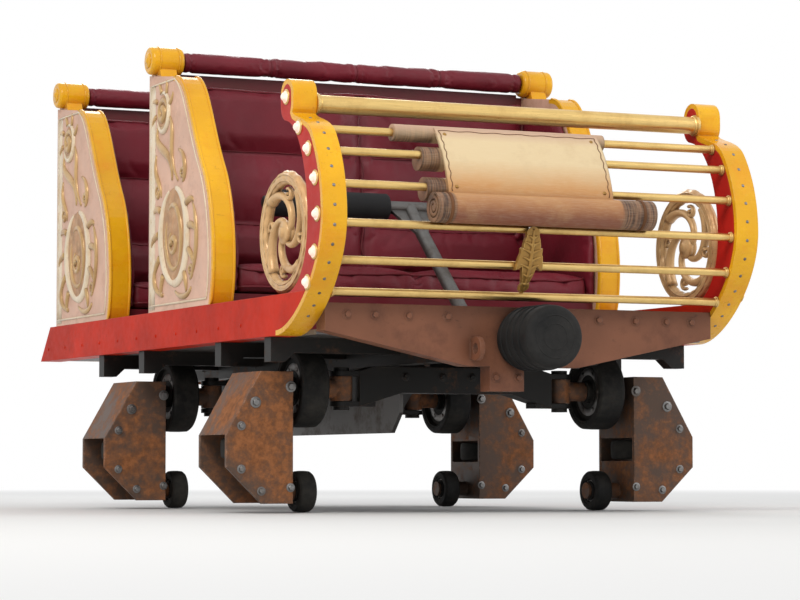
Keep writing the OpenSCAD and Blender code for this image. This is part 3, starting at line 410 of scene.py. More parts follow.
# carved_relief: its near-white edge colour is a painted highlight, and its brown hollows are painted shade
painted("carved_relief", (0.88, 0.72, 0.50), rough=0.32, coat=0.25, shine=0.4, vary=0.12,
        wear=(1.0, 0.95, 0.86), wear_and_highlight_by=0.9, dirt_and_shade=(0.30, 0.13, 0.045), grime_and_shade_by=1.0, edge=0.004,
        mottle=14.0, second=(0.70, 0.45, 0.22), second_by=0.5)
painted("gold_paint", (0.74, 0.46, 0.21), rough=0.34, coat=0.2, metallic=0.15, wear=(0.92, 0.78, 0.48),
        dirt_and_shade=(0.09, 0.04, 0.015), grime_and_shade_by=1.0, second=(0.46, 0.24, 0.09), second_by=0.7)
# gold_relief: its pale gold edge colour is a painted highlight, and its dark hollows are painted shade
painted("gold_relief", (0.62, 0.39, 0.16), rough=0.32, coat=0.25, shine=0.4, metallic=0.3,
        wear=(0.98, 0.86, 0.62), wear_and_highlight_by=0.9, dirt_and_shade=(0.12, 0.05, 0.015), grime_and_shade_by=1.0, edge=0.003,
        second=(0.44, 0.23, 0.08), second_by=0.7)
# relief_ground: the ovals' brown-gold, darkened towards the strokes as painted shade
painted("relief_ground", (0.52, 0.27, 0.12), rough=0.42, coat=0.1, vary=0.25, mottle=26.0,
        wear=(0.84, 0.62, 0.40), wear_and_highlight_by=0.7, dirt_and_shade=(0.16, 0.065, 0.025), grime_and_shade_by=1.0,
        second=(0.68, 0.44, 0.24), second_by=0.7)
metal("polished_brass", (0.79, 0.55, 0.21), rough=0.30, tarnish=(0.38, 0.21, 0.07), tarnish_by=0.45)
painted("bronze_paint", (0.40, 0.22, 0.055), coat=0.2, metallic=0.5, wear=(0.86, 0.60, 0.20),
        wear_and_highlight_by=0.9, dirt_and_shade=(0.06, 0.03, 0.01), grime_and_shade_by=1.0, mottle=16.0, edge=0.003)
painted("brown_paint", (0.22, 0.088, 0.048), rough=0.44, coat=0.08, vary=0.2, wear=(0.46, 0.28, 0.20),
        dirt_and_shade=(0.035, 0.022, 0.018), grime_and_shade_by=0.9, second=(0.13, 0.050, 0.030), second_by=0.7)
# frame_steel: black paint made darker still as painted shade under the car
rusty("frame_steel", (0.014, 0.013, 0.012), (0.085, 0.038, 0.018), rust_at=(0.56, 0.70))
# rusty_steel: its pale edge colour is a painted highlight on its edges, with rubbed paint
rusty("rusty_steel", (0.115, 0.072, 0.052), (0.20, 0.078, 0.030), rust_at=(0.44, 0.58),
      edge_wear_and_highlight=(0.50, 0.38, 0.30), edge=0.005)
chequer_plate("floor_plate")
rubber("buffer_rubber", (0.010, 0.010, 0.010), dust=(0.07, 0.065, 0.06), dust_by=0.35, bump_by=0.5)
rubber("wheel_tread", (0.012, 0.0115, 0.011), dust=(0.10, 0.09, 0.075), dust_by=0.45)
rubber("pad_foam", (0.014, 0.014, 0.015), dust=(0.08, 0.08, 0.08), dust_by=0.12, bump_by=0.4)
leather("maroon_leather", (0.16, 0.008, 0.018))
painted("maroon_shell", (0.15, 0.011, 0.020), rough=0.38, wear=(0.5, 0.2, 0.2), wear_and_highlight_by=0.3)
metal("bare_steel", (0.38, 0.38, 0.38), rough=0.34, tarnish=(0.14, 0.10, 0.07), tarnish_by=0.5)
metal("hub_steel", (0.24, 0.235, 0.23), rough=0.42, tarnish=(0.09, 0.055, 0.035), tarnish_by=0.8)
# fin_steel: steel darkened as painted shade for the brake fin and the dogs beneath the car, and a dark steel for the
# lap bars
metal("fin_steel", (0.15, 0.145, 0.14), rough=0.5, tarnish=(0.07, 0.045, 0.03), tarnish_by=0.8)
parchment("parchment_paint")
painted("sign_ink", (0.16, 0.065, 0.025), rough=0.5, coat=0.0, edge=0.0006)
lamp_glass("lamp_glass")

FIN_STEEL_NODES = ("brake_fin", "lap_bar_front", "lap_bar_rear", "chain_dog", "rollback_dog")
for part in frame["record"]["subparts"]:
    look = "fin_steel" if part["node"] in FIN_STEEL_NODES else part["material_slot"]
    for slot in NODES[part["node"]].material_slots:
        slot.material = MATERIALS[look]


# ---------------------------------------------------------------- geometry helpers
def turns(steps):
    """Angles at even steps round a full turn."""
    return [math.tau * i / steps for i in range(steps)]


def circle(center, r, steps, axis="x"):
    """Points round a circle about an x or y axis through its center."""
    x, y, z = center
    if axis == "x":
        return [(x, y + r * math.cos(a), z + r * math.sin(a)) for a in turns(steps)]
    return [(x + r * math.cos(a), y, z + r * math.sin(a)) for a in turns(steps)]


def skin(bm, rings, closed=False):
    """Faces from ring to ring, with both ends filled unless the rings run round."""
    n = len(rings)
    for i in range(n if closed else n - 1):
        r0, r1 = rings[i], rings[(i + 1) % n]
        for j in range(len(r0)):
            k = (j + 1) % len(r0)
            bm.faces.new((r0[j], r0[k], r1[k], r1[j]))
    if not closed:
        bm.faces.new(list(reversed(rings[0])))
        bm.faces.new(rings[-1])


def add_tube(bm, path, radii, segments, flat=None, closed=False):
    """A tube along a path. flat = (direction, factor) squeezes its section along a direction."""
    path = [Vector(p) for p in path]
    n = len(path)
    if not isinstance(radii, (list, tuple)):
        radii = [radii] * n
    rings = []
    tangent = (path[1] - path[0]).normalized()
    side = tangent.orthogonal().normalized()
    if flat:
        side = Vector(flat[0]).normalized()
    for i, p in enumerate(path):
        a = path[i - 1] if i or closed else path[0]
        b = path[(i + 1) % n] if i < n - 1 or closed else path[-1]
        tangent = (b - a).normalized()
        side = (side - tangent * side.dot(tangent)).normalized()
        other = tangent.cross(side)
        k = flat[1] if flat else 1.0
        rings.append([
            bm.verts.new(p + radii[i] * (math.cos(t) * side * k + math.sin(t) * other)) for t in turns(segments)])
    skin(bm, rings, closed)


def add_lathe(bm, profile, place, segments):
    """A closed turned piece: profile is [(radius, height)] and place a matrix whose Z is its axis."""
    skin(bm, [[bm.verts.new(place @ Vector((r * math.cos(t), r * math.sin(t), h))) for t in turns(segments)]
              for r, h in profile])


def add_bolt(bm, place, size):
    """A hexagon head with a chamfer, on a washer. size is the head's width."""
    r, h = size / 2 / math.cos(math.pi / 6), 0.62 * size
    add_lathe(bm, [(0.9 * size, -0.0004), (0.9 * size, 0.09 * size), (0.8 * size, 0.13 * size)], place, 20)
    add_lathe(bm, [(r, 0.1 * size), (r, h - 0.08 * size), (0.82 * r, h)], place, 6)


def facing(point, direction, spin=0.0):
    """A matrix that stands on point with its Z along direction."""
    turn = Vector(direction).to_track_quat("Z", "Y").to_matrix().to_4x4()
    return Matrix.Translation(Vector(point)) @ turn @ Matrix.Rotation(spin, 4, "Z")


def dome(size, height):
    """The profile of a round screw head."""
    return [(size * math.cos(a), height * math.sin(a)) for a in (math.radians(d) for d in (0, 20, 42, 62, 80))]


EDGE = 35


def piece(name, fill, slot_name, look=None, body="car", smooth=True):
    """A new piece whose mesh is made by fill(bm), with its slot's material or the look named.

    smooth can be an angle in degrees above which an edge stays sharp.
    """
    bm = bmesh.new()
    fill(bm)
    bmesh.ops.recalc_face_normals(bm, faces=bm.faces)
    mesh = bpy.data.meshes.new(name)
    bm.to_mesh(mesh)
    bm.free()
    mesh.materials.append(MATERIALS[look or slot_name])
    if smooth:
        mesh.shade_smooth()
        if smooth is not True:
            mesh.set_sharp_from_angle(angle=math.radians(smooth))
    obj = linked(name, mesh)
    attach(obj, body)
    return obj


def bezier(p, steps):
    """Points on a cubic curve with these four control points."""
    out = []
    for i in range(steps + 1):
        t = i / steps
        q = [(1 - t) ** 3, 3 * t * (1 - t) ** 2, 3 * t * t * (1 - t), t ** 3]
        out.append(tuple(sum(q[k] * p[k][c] for k in range(4)) for c in range(2)))
    return out


def spiral(cx, cy, r0, r1, a0, a1, steps):
    """Points round a center as the radius and the angle, in degrees, run evenly."""
    out = []
    for i in range(steps + 1):
        t = i / steps
        r = r0 + (r1 - r0) * t
        a = math.radians(a0 + (a1 - a0) * t)
        out.append((cx + r * math.cos(a), cy + r * math.sin(a)))
    return out


# ---------------------------------------------------------------- upholstery
SIM_FRAMES, PRESSURE = 20, 4.0
ROW_STEP = ROWS["rear"] - ROWS["front"]
soft_jobs = []


def groove(distance, width):
    """1 on a line, falling to nothing beside it."""
    return math.exp(-(distance / width) ** 2)


def applied(obj):
    """The object's mesh with its modifiers applied."""
    dg = bpy.context.evaluated_depsgraph_get()
    mesh = bpy.data.meshes.new_from_object(obj.evaluated_get(dg))
    obj.modifiers.clear()
    obj.data = mesh
    return mesh


def start_soft(name, node, inset, voxel, pin, dent, cap, slack=0.0, smooth_by=4, pair=False):
    """The node's solid, drawn in by inset on each side, remeshed, dented along its seams and set up as cloth.

    pin gives how fast a point is held, cap is how far it may move, and a pair has a left and a right half.
    """
    mesh = NODES[node].data.copy()
    obj = linked(name, mesh)
    lo, hi = (Vector(c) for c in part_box(node))
    halves = [(lo, hi)]
    if pair:
        x = min(abs(v.co.x) for v in mesh.vertices)
        halves = [(lo, Vector((-x, hi.y, hi.z))), (Vector((x, lo.y, lo.z)), hi)]
    for v in mesh.vertices:
        a, b = halves[1 if pair and v.co.x >= 0 else 0]
        middle, half = (a + b) / 2, (b - a) / 2
        for i in range(3):
            v.co[i] = middle[i] + (v.co[i] - middle[i]) * (half[i] - inset[i]) / half[i]
    remesh = obj.modifiers.new("remesh", "REMESH")
    remesh.mode = "VOXEL"
    remesh.voxel_size = voxel
    even = obj.modifiers.new("even", "SMOOTH")
    even.factor = 0.5
    even.iterations = smooth_by
    mesh = applied(obj)
    for v in mesh.vertices:
        v.co += dent(v.co.copy())
    start = [v.co.copy() for v in mesh.vertices]
    sewn = obj.vertex_groups.new(name="sewn")
    for v in mesh.vertices:
        hold = pin(v.co)
        if hold > 0.02:
            sewn.add([v.index], min(1.0, hold), "REPLACE")
    cloth = obj.modifiers.new("cloth", "CLOTH")
    s = cloth.settings
    s.quality = 4
    s.mass = 0.3
    s.tension_stiffness = s.compression_stiffness = 12.0
    s.shear_stiffness = 6.0
    s.bending_stiffness = 0.6
    s.use_pressure = True
    s.uniform_pressure_force = PRESSURE
    s.shrink_min = -slack
    s.effector_weights.gravity = 0.0
    s.vertex_group_mass = "sewn"
    cloth.point_cache.frame_start = 1
    cloth.point_cache.frame_end = SIM_FRAMES
    soft_jobs.append((obj, start, cap))
    return obj


def finish_soft(levels):
    """Steps all cloth together, limits how far it moved and applies it."""
    for f in range(1, SIM_FRAMES + 1):
        scene.frame_set(f)
    for obj, start, cap in soft_jobs:
        mesh = applied(obj)
        mesh.materials.clear()
        for v, s in zip(mesh.vertices, start):
            move = v.co - s
            if move.length > cap:
                v.co = s + move * (cap / move.length)
        if obj.name in levels:
            finer = obj.modifiers.new("finer", "SUBSURF")
            finer.levels = finer.render_levels = levels[obj.name]
            applied(obj)
    scene.frame_set(1)


def held(obj, node, low, high):
    """Keeps a pad's points in its node's box, grown by low and high, so that it lies flat on what carries it."""
    lo, hi = (Vector(c) + Vector(by) for c, by in zip(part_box(node), (low, high)))
    for v in obj.data.vertices:
        for i in range(3):
            v.co[i] = min(max(v.co[i], lo[i]), hi[i])


def seam_tube(bm, tree, path, radius, closed=False):
    """A seam's cord, sunk in part into the surface near a path."""
    found = []
    for p in path:
        at, normal, _, _ = tree.find_nearest(Vector(p))
        found.append(at + normal * radius * SEAM_LIFT)
    for _ in range(3):
        n = len(found)
        found = [
            found[i] if not closed and i in (0, n - 1)
            else (found[i - 1] + found[i] * 2 + found[(i + 1) % n]) / 4 for i in range(n)]
    add_tube(bm, found, radius, 6, closed=closed)


def line(a, b, steps=40):
    """Points at even steps from a to b."""
    a, b = Vector(a), Vector(b)
    return [a.lerp(b, i / steps) for i in range(steps + 1)]


def tree_of(*objects):
    """A search tree over the objects' faces."""
    bm = bmesh.new()
    for obj in objects:
        bm.from_mesh(obj.data)
    tree = BVHTree.FromBMesh(bm)
    bm.free()
    return tree


def near(value, places, width):
    """1 at any of the places, falling to nothing beside them."""
    return max(groove(value - p, width) for p in places)


FRONT_ROW = ROWS["front"]
CUSHION_LO, CUSHION_HI = (Vector(c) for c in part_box("cushion_front"))
BACK_LO, BACK_HI = (Vector(c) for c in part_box("backrest_front"))
CUSHION_LINES = (FRONT_ROW - 0.170, FRONT_ROW - 0.300)
BACK_LINES = (0.745, 0.930)
PLACE_X = 0.245
SEAM_FROM, SEAM_TO, SEAM_LIFT = 0.035, 0.450, 0.35
MIDDLE_DEPTH, MIDDLE_WIDTH, MIDDLE_HOLD = 0.016, 0.013, 0.005
BACK_FRONT, BACK_HELD = 0.035, 0.012


def cross_seams(x, value, lines, width):
    """How near a point is to the cross seams, which stop short of the middle and the ends."""
    return near(value, lines, width) if SEAM_FROM - 0.005 < abs(x) < SEAM_TO + 0.005 else 0


def hollow_at(x, off, depth, reach_x, reach):
    """The hollow that a sitter leaves in each of the two places."""
    return depth * math.exp(-((abs(x) - PLACE_X) / reach_x) ** 2 - (off / reach) ** 2)


def cushion_dent(co):
    up = (co.z - CUSHION_LO.z) / (CUSHION_HI.z - CUSHION_LO.z)
    if up < 0.55:
        return Vector()
    cross = cross_seams(co.x, co.y, CUSHION_LINES, 0.010)
    sat = hollow_at(co.x, co.y - FRONT_ROW + 0.20, 0.006, 0.14, 0.11)
    return Vector((0, 0, -MIDDLE_DEPTH * groove(co.x, MIDDLE_WIDTH) - 0.008 * cross - sat))


def cushion_pin(co):
    if co.z < CUSHION_LO.z + 0.012:
        return 1.0
    if co.z < CUSHION_HI.z - 0.040:
        return 0.0
    return max(groove(co.x, MIDDLE_HOLD), cross_seams(co.x, co.y, CUSHION_LINES, 0.004))


def back_dent(co):
    front = BACK_HI.y - co.y
    if front < BACK_FRONT:
        return Vector()
    cross = cross_seams(co.x, co.z, BACK_LINES, 0.011)
    leant = hollow_at(co.x, co.z - 0.84, 0.010, 0.13, 0.15)
    return Vector((0, MIDDLE_DEPTH * groove(co.x, MIDDLE_WIDTH) + 0.009 * cross + leant, 0))


def back_pin(co):
    front = BACK_HI.y - co.y
    if front < BACK_HELD:
        return 1.0
    if front < BACK_FRONT:
        return 0.0
    return max(groove(co.x, MIDDLE_HOLD), cross_seams(co.x, co.z, BACK_LINES, 0.004))


def roll_axis(node):
    """The y and z of the line that a roll or pad lies round."""
    lo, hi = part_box(node)
    return (lo[1] + hi[1]) / 2, (lo[2] + hi[2]) / 2


ROLL_Y, ROLL_Z = roll_axis("head_roll_front")
PAD_Y, PAD_Z = roll_axis("lap_pads_front")
ROLL_RINGS = (-0.247, 0.0, 0.247)


def roll_dent(co):
    out = Vector((0, co.y - ROLL_Y, co.z - ROLL_Z))
    return -out.normalized() * 0.004 * near(co.x, ROLL_RINGS, 0.007) if out.length > 0.012 else Vector()


def roll_pin(co):
    return 1.0 if abs(co.x) > 0.482 else near(co.x, ROLL_RINGS, 0.004)


def pad_pin(co):
    return 1.0 if math.hypot(co.y - PAD_Y, co.z - PAD_Z) < 0.0215 else 0.0


def side_pin(co):
    return 1.0 if abs(co.x) > 0.5065 else 0.0


def no_dent(co):
    return Vector()


cushion = start_soft("cushion_leather_front", "cushion_front", (0.004, 0.004, 0.003), 0.007, cushion_pin,
                     cushion_dent, 0.012, slack=0.012)
backrest = start_soft("backrest_leather_front", "backrest_front", (0.004, 0.006, 0.005), 0.007, back_pin,
                      back_dent, 0.013, slack=0.012)
side_pads = start_soft("side_pads_leather_front", "side_pads_front", (0.0015, 0.002, 0.002), 0.006, side_pin,
                       no_dent, 0.005, slack=0.006, smooth_by=3, pair=True)
head_roll = start_soft("head_roll_leather_front", "head_roll_front", (0.001, 0.003, 0.003), 0.005, roll_pin,
                       roll_dent, 0.006, slack=0.02)
lap_pads = start_soft("lap_pads_foam_front", "lap_pads_front", (0.003, 0.002, 0.002), 0.005, pad_pin,
                      no_dent, 0.004, pair=True)
finish_soft({"head_roll_leather_front": 1})

held(cushion, "cushion_front", (-0.0005, -0.008, 0), (0.0005, 0, 0.008))
held(backrest, "backrest_front", (-0.0005, -0.008, 0), (0.0005, 0, 0.004))
held(side_pads, "side_pads_front", (0, -0.003, -0.003), (0, 0.003, 0.003))
held(head_roll, "head_roll_front", (0, -0.003, -0.003), (0, 0.003, 0.003))

SOFT = (
    (cushion, "cushion", "maroon_leather", 0.75), (backrest, "backrest", "maroon_leather", 0.7),
    (side_pads, "side_pads", "maroon_leather", 0.8), (head_roll, "head_roll", "maroon_leather", 0.9),
    (lap_pads, "lap_pads", "pad_foam", 0.95))


def settle_soft(obj, stem, slot_name, row):
    """Gives a cloth its material and its place in the frame, instead of its node."""
    obj.data.materials.clear()
    obj.data.materials.append(MATERIALS[slot_name])
    obj.data.shade_smooth()
    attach(obj, f"lap_bar_{row}" if stem == "lap_pads" else "car")
    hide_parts(f"{stem}_{row}")


def rear_copy(obj):
    """The same piece for the rear row."""
    rear = linked(obj.name.replace("front", "rear"), obj.data.copy())
    rear.data.transform(Matrix.Translation((0, ROW_STEP, 0)))
    return rear


for obj, stem, slot_name, fill in SOFT:
    rear = rear_copy(obj)
    settle_soft(obj, stem, slot_name, "front")
    settle_soft(rear, stem, slot_name, "rear")


def rounded_loop(lo, hi, r):
    """A rectangle with round corners in two coordinates."""
    out = []
    for cx, cy, a0 in ((hi[0] - r, hi[1] - r, 0), (lo[0] + r, hi[1] - r, 90),
                       (lo[0] + r, lo[1] + r, 180), (hi[0] - r, lo[1] + r, 270)):
        for turned in range(0, 91, 15):
            a = math.radians(a0 + turned)
            out.append((cx + r * math.cos(a), cy + r * math.sin(a)))
    dense = []
    for p, q in zip(out, out[1:] + out[:1]):
        n = max(1, int(math.dist(p, q) / 0.012))
        dense += [(p[0] + (q[0] - p[0]) * i / n, p[1] + (q[1] - p[1]) * i / n) for i in range(n)]
    return dense


PIPING, MIDDLE_SEAM, CROSS_SEAM, ROLL_SEAM = 0.0034, 0.0022, 0.0014, 0.0016
cushion_tree, back_tree, roll_tree = tree_of(cushion), tree_of(backrest), tree_of(head_roll)


def cushion_piping(bm):
    for z in (CUSHION_HI.z - 0.004, CUSHION_LO.z + 0.016):
        loop = rounded_loop((CUSHION_LO.x, CUSHION_LO.y), (CUSHION_HI.x, CUSHION_HI.y), 0.03)
        seam_tube(bm, cushion_tree, [(x, y, z) for x, y in loop], PIPING, closed=True)
    z = CUSHION_HI.z + 0.01
    seam_tube(bm, cushion_tree, line((0, CUSHION_LO.y + 0.012, z), (0, CUSHION_HI.y - 0.02, z)), MIDDLE_SEAM)
    for y in CUSHION_LINES:
        for s in (-1, 1):
            seam_tube(bm, cushion_tree, line((SEAM_FROM * s, y, z), (SEAM_TO * s, y, z)), CROSS_SEAM)


def back_piping(bm):
    y = BACK_LO.y + 0.01
    loop = rounded_loop((BACK_LO.x + 0.004, BACK_LO.z + 0.006), (BACK_HI.x - 0.004, BACK_HI.z - 0.006), 0.03)

    def slope(z):
        return BACK_LO.y + 0.006 + 0.035 * (z - BACK_LO.z) / (BACK_HI.z - BACK_LO.z)

    seam_tube(bm, back_tree, [(x, slope(z), z) for x, z in loop], PIPING, closed=True)
    middle = line((0, y, BACK_LO.z + 0.02), (0, y + 0.03, BACK_HI.z - 0.015), 60)
    seam_tube(bm, back_tree, middle, MIDDLE_SEAM)
    for z in BACK_LINES:
        for s in (-1, 1):
            seam_tube(bm, back_tree, line((SEAM_FROM * s, slope(z), z), (SEAM_TO * s, slope(z), z)), CROSS_SEAM)


def roll_piping(bm):
    for x in ROLL_RINGS:
        seam_tube(bm, roll_tree, circle((x, ROLL_Y, ROLL_Z), 0.027, 32), ROLL_SEAM, closed=True)


for stem, fill in (("cushion", cushion_piping), ("backrest", back_piping), ("head_roll", roll_piping)):
    rear = rear_copy(piece(f"{stem}_piping_front", fill, "maroon_shell"))
    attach(rear, "car")


# ---------------------------------------------------------------- carved panels
def taper(n, a, b, c):
    """Radii that run from a through b in the middle to c."""
    out = []
    for i in range(n):
        t = i / (n - 1)
        out.append((1 - t) ** 2 * a + 2 * t * (1 - t) * (2 * b - (a + c) / 2) + t * t * c)
    return out


def ellipse(cx, cy, a, b, a0, a1, steps, turn=0.0):
    """Points on an ellipse from one angle to another, in degrees, turned by turn."""
    c, s = math.cos(math.radians(turn)), math.sin(math.radians(turn))
    out = []
    for i in range(steps + 1):
        t = math.radians(a0 + (a1 - a0) * i / steps)
        x, y = a * math.cos(t), b * math.sin(t)
        out.append((cx + x * c - y * s, cy + x * s + y * c))
    return out


def frond(cx, cy, a, b, at, length, lean):
    """A comma-shaped leaf that starts on an ellipse and curls outwards."""
    t = math.radians(at)
    x, y = cx + a * math.cos(t), cy + b * math.sin(t)
    d = Vector((math.cos(t), math.sin(t)))
    q = Vector((-d.y, d.x)) * lean
    p0, p3 = Vector((x, y)), Vector((x, y)) + d * length + q * length * 0.75
    return bezier([tuple(p0), tuple(p0 + d * length * 0.5), tuple(p3 - q * length * 0.3 + d * length * 0.3),
                   tuple(p3)], 8)


EYE_U, EYE_V, EYE_A, EYE_B = 0.188, 0.188, 0.094, 0.122
RING_U, RING_V, RING_R = 0.105, 0.512, 0.043
EYE_FRONDS = (  # angle, length, lean
    (150, 0.044, 1), (176, 0.050, 1), (202, 0.052, 1), (226, 0.044, 1),
    (34, 0.038, -1), (8, 0.044, -1), (-18, 0.046, -1), (-46, 0.040, -1))
RING_FRONDS = (20, 62, 104, 146, 188)
PALE_STROKES = 3
PROUD, SUNK = 0.0082, 0.0008
GROUND_PROUD = 0.0016
PANEL_TOP, BORDER_IN = 0.588, 0.016
MARGIN_U, MARGIN_HALF, MARGIN_LOW = 0.026, 0.023, 0.006


def carving_strokes():
    """The scrolls as (points, start, middle, end half-width), forward of the row's rear edge and above the sill.

    The first PALE_STROKES of them are the pale outlines.
    """
    u, v = EYE_U, EYE_V
    strokes = [
        (ellipse(u, v, EYE_A, EYE_B, 78, -118, 40, 6), 0.0060, 0.0190, 0.0055),
        (ellipse(u, v, EYE_A, EYE_B, 104, 268, 36, 6), 0.0050, 0.0165, 0.0050),
        (ellipse(RING_U, RING_V, RING_R + 0.003, RING_R + 0.007, 110, -160, 30), 0.0030, 0.0095, 0.0030),
        (ellipse(u - 0.002, v - 0.004, 0.056, 0.083, 118, -70, 30, 6), 0.0040, 0.0100, 0.0040),
        (ellipse(u - 0.002, v - 0.008, 0.054, 0.078, 140, 300, 24, 6), 0.0035, 0.0085, 0.0035),
        (spiral(u - 0.003, v - 0.020, 0.032, 0.006, 120, 560, 30), 0.0050, 0.0085, 0.0125),
        (spiral(RING_U, RING_V, RING_R, 0.008, 250, 800, 40), 0.0055, 0.0095, 0.0125),
        (bezier([(0.068, 0.478), (0.026, 0.405), (0.185, 0.425), (0.172, 0.330)], 24), 0.0055, 0.0135, 0.0055),
        (bezier([(0.148, 0.500), (0.208, 0.455), (0.128, 0.400), (0.216, 0.326)], 24), 0.0040, 0.0095, 0.0040),
        (bezier([(0.056, 0.405), (0.034, 0.340), (0.098, 0.335), (0.092, 0.292)], 16), 0.0035, 0.0095, 0.0030),
        (bezier([(0.218, 0.405), (0.282, 0.392), (0.275, 0.325), (0.246, 0.322)], 16), 0.0035, 0.0095, 0.0040),
        (spiral(0.246, 0.342, 0.020, 0.004, -90, 300, 20), 0.0040, 0.0060, 0.0075),
        (spiral(0.070, 0.306, 0.022, 0.004, 20, 400, 20), 0.0040, 0.0060, 0.0075),
        (bezier([(0.318, 0.262), (0.362, 0.220), (0.362, 0.118), (0.305, 0.072)], 20), 0.0035, 0.0095, 0.0040),
        (spiral(0.306, 0.092, 0.020, 0.004, -95, 280, 18), 0.0040, 0.0055, 0.0070),
        (bezier([(0.070, 0.130), (0.032, 0.100), (0.036, 0.046), (0.112, 0.040)], 16), 0.0035, 0.0095, 0.0050),
        (bezier([(0.196, 0.046), (0.236, 0.022), (0.290, 0.026), (0.312, 0.050)], 16), 0.0035, 0.0080, 0.0040),
    ]
    for at, length, lean in EYE_FRONDS:
        strokes.append((frond(u, v, EYE_A + 0.014, EYE_B + 0.014, at, length, lean), 0.0095, 0.0085, 0.0012))
    for at in RING_FRONDS:
        points = frond(RING_U, RING_V, RING_R + 0.008, RING_R + 0.008, at, 0.028, 1)
        strokes.append((points, 0.0070, 0.0062, 0.0010))
    return strokes


STROKES = carving_strokes()
PANEL_EDGE = (bezier([(0.190, 0.594), (0.275, 0.592), (0.305, 0.456), (0.395, 0.341)], 24)
              + bezier([(0.395, 0.341), (0.445, 0.277), (0.485, 0.116), (0.442, 0.0)], 24)[1:])


def outline_front(v):
    """How far forward of the row's rear edge the panel reaches at a height above the sill."""
    for (u0, v0), (u1, v1) in zip(PANEL_EDGE, PANEL_EDGE[1:]):
        if v1 <= v <= v0:
            return u0 + (u1 - u0) * (v0 - v) / (v0 - v1)
    return PANEL_EDGE[-1][0] if v < PANEL_EDGE[-1][1] else PANEL_EDGE[0][0]


def border_path(inset, top):
    """The line inside the panel's edge: up the rear, along the top and down the curved front."""
    rear = [(inset, inset)] + [(inset, v / 10 * top) for v in range(1, 10)] + [(inset, top)]
    along = [(0.02 + u - inset, top) for u in (0.05, 0.09, 0.13)]
    heights = [top - i * (top - inset) / 40 for i in range(41)]
    return rear + along + [(outline_front(v) - 0.012 - inset, v) for v in heights]


def add_oval(bm, place):
    """A low crowned plate on the unit disc: place(u, v, out) puts a point of it on the panel."""
    profile = ((1.0, -SUNK), (1.0, 0.0004), (0.94, 0.0012), (0.80, GROUND_PROUD), (0.45, GROUND_PROUD))
    skin(bm, [[bm.verts.new(place(r * math.cos(a), r * math.sin(a), out)) for a in turns(48)]
              for r, out in profile])


def carve(side, row):
    """A panel's carving: pale outlines, gold scrolls and the ovals painted under them."""
    s, y = SIDES[side], ROWS[row]

    def place(u, v, out=0.0):
        return Vector((s * (X_OUT + out), y - u, SILL_TOP + v))

    def strokes(bm, chosen):
        for points, a, b, c in chosen:
            path = [place(u, v, -SUNK) for u, v in points]
            add_tube(bm, path, taper(len(path), a, b, c), 10, flat=((1, 0, 0), min(0.85, PROUD / b)))

    def pale(bm):
        strokes(bm, STROKES[:PALE_STROKES])
        add_tube(bm, [place(u, v) for u, v in border_path(BORDER_IN, PANEL_TOP)], 0.0030, 6, closed=True)
        margin = line(place(MARGIN_U, MARGIN_LOW, -0.0002), place(MARGIN_U, PANEL_TOP, -0.0002), 12)
        add_tube(bm, margin, MARGIN_HALF, 12, flat=((1, 0, 0), 0.05))

    def grounds(bm):
        add_oval(bm, lambda u, v, out: place(EYE_U + u * EYE_A, EYE_V + v * EYE_B, out))
        add_oval(bm, lambda u, v, out: place(RING_U + u * RING_R, RING_V + v * RING_R, out))

    def scrolls(bm):
        strokes(bm, STROKES[PALE_STROKES:])

    piece(f"carving_{row}_{side}", pale, "carved_cream", "carved_relief")
    piece(f"scrolls_{row}_{side}", scrolls, "gold_paint", "gold_relief")
    piece(f"carving_ground_{row}_{side}", grounds, "carved_cream", "relief_ground")


for row in ROWS:
    for side in SIDES:
        carve(side, row)


def strip_beads(bm):
    for y in ROWS.values():
        for s in (-1, 1):
            for x in (X_IN + 0.0032, X_OUT - 0.0032):
                path = [(s * x, y - u + 0.0012, SILL_TOP + v) for u, v in PANEL_EDGE]
                add_tube(bm, path, 0.0040, 8)


piece("strip_beads", strip_beads, "yellow_paint")


# ---------------------------------------------------------------- fittings found on the CAD surfaces
AHEAD, ASIDE = 1.3, 0.8  # where rays start, beyond the car's ends and sides


def tree_for(*nodes):
    """A search tree over nodes of the frame."""
    return tree_of(*(NODES[node] for node in nodes))


def hit(tree, origin, direction, reach=2.0):
    """Where a ray meets the surface, and the normal there."""
    at, normal, _, _ = tree.ray_cast(Vector(origin), Vector(direction).normalized(), reach)
    return at, normal


def stud(bm, tree, origin, direction, size, kind="dome", spin=0.0, facing_by=0.9):
    """A screw or bolt where a ray meets the surface squarely."""
    at, normal = hit(tree, origin, direction)
    if at is None or abs(normal.dot(Vector(direction).normalized())) < facing_by:
        return
    normal = normal if normal.dot(Vector(direction)) < 0 else -normal
    place = facing(at - normal * 0.0005, normal, spin)
    if kind == "dome":
        add_lathe(bm, dome(size, size * 0.55), place, 14)
    else:
        add_bolt(bm, place, size)


def parts_of(node):
    """The lowest and highest corner of each loose part of a node's mesh."""
    bm = bmesh.new()
    bm.from_mesh(NODES[node].data)
    bmesh.ops.remove_doubles(bm, verts=bm.verts, dist=1e-6)
    seen, boxes = set(), []
    for v in bm.verts:
        if v in seen:
            continue
        stack, lo, hi = [v], v.co.copy(), v.co.copy()
        seen.add(v)
        while stack:
            w = stack.pop()
            lo = Vector(map(min, lo, w.co))
            hi = Vector(map(max, hi, w.co))
            for e in w.link_edges:
                o = e.other_vert(w)
                if o not in seen:
                    seen.add(o)
                    stack.append(o)
        boxes.append((lo, hi))
    bm.free()
    return boxes


def round_hoop(angle, r, x=0.0):
    """A point at a radius and an angle above the hoop's forward level."""
    a = math.radians(angle)
    return Vector((x, HOOP.y - r * math.cos(a), HOOP.z + r * math.sin(a)))

# Hoops: screws along the rims and a socket round each lamp
rim_tree = tree_for("hoop_rims")


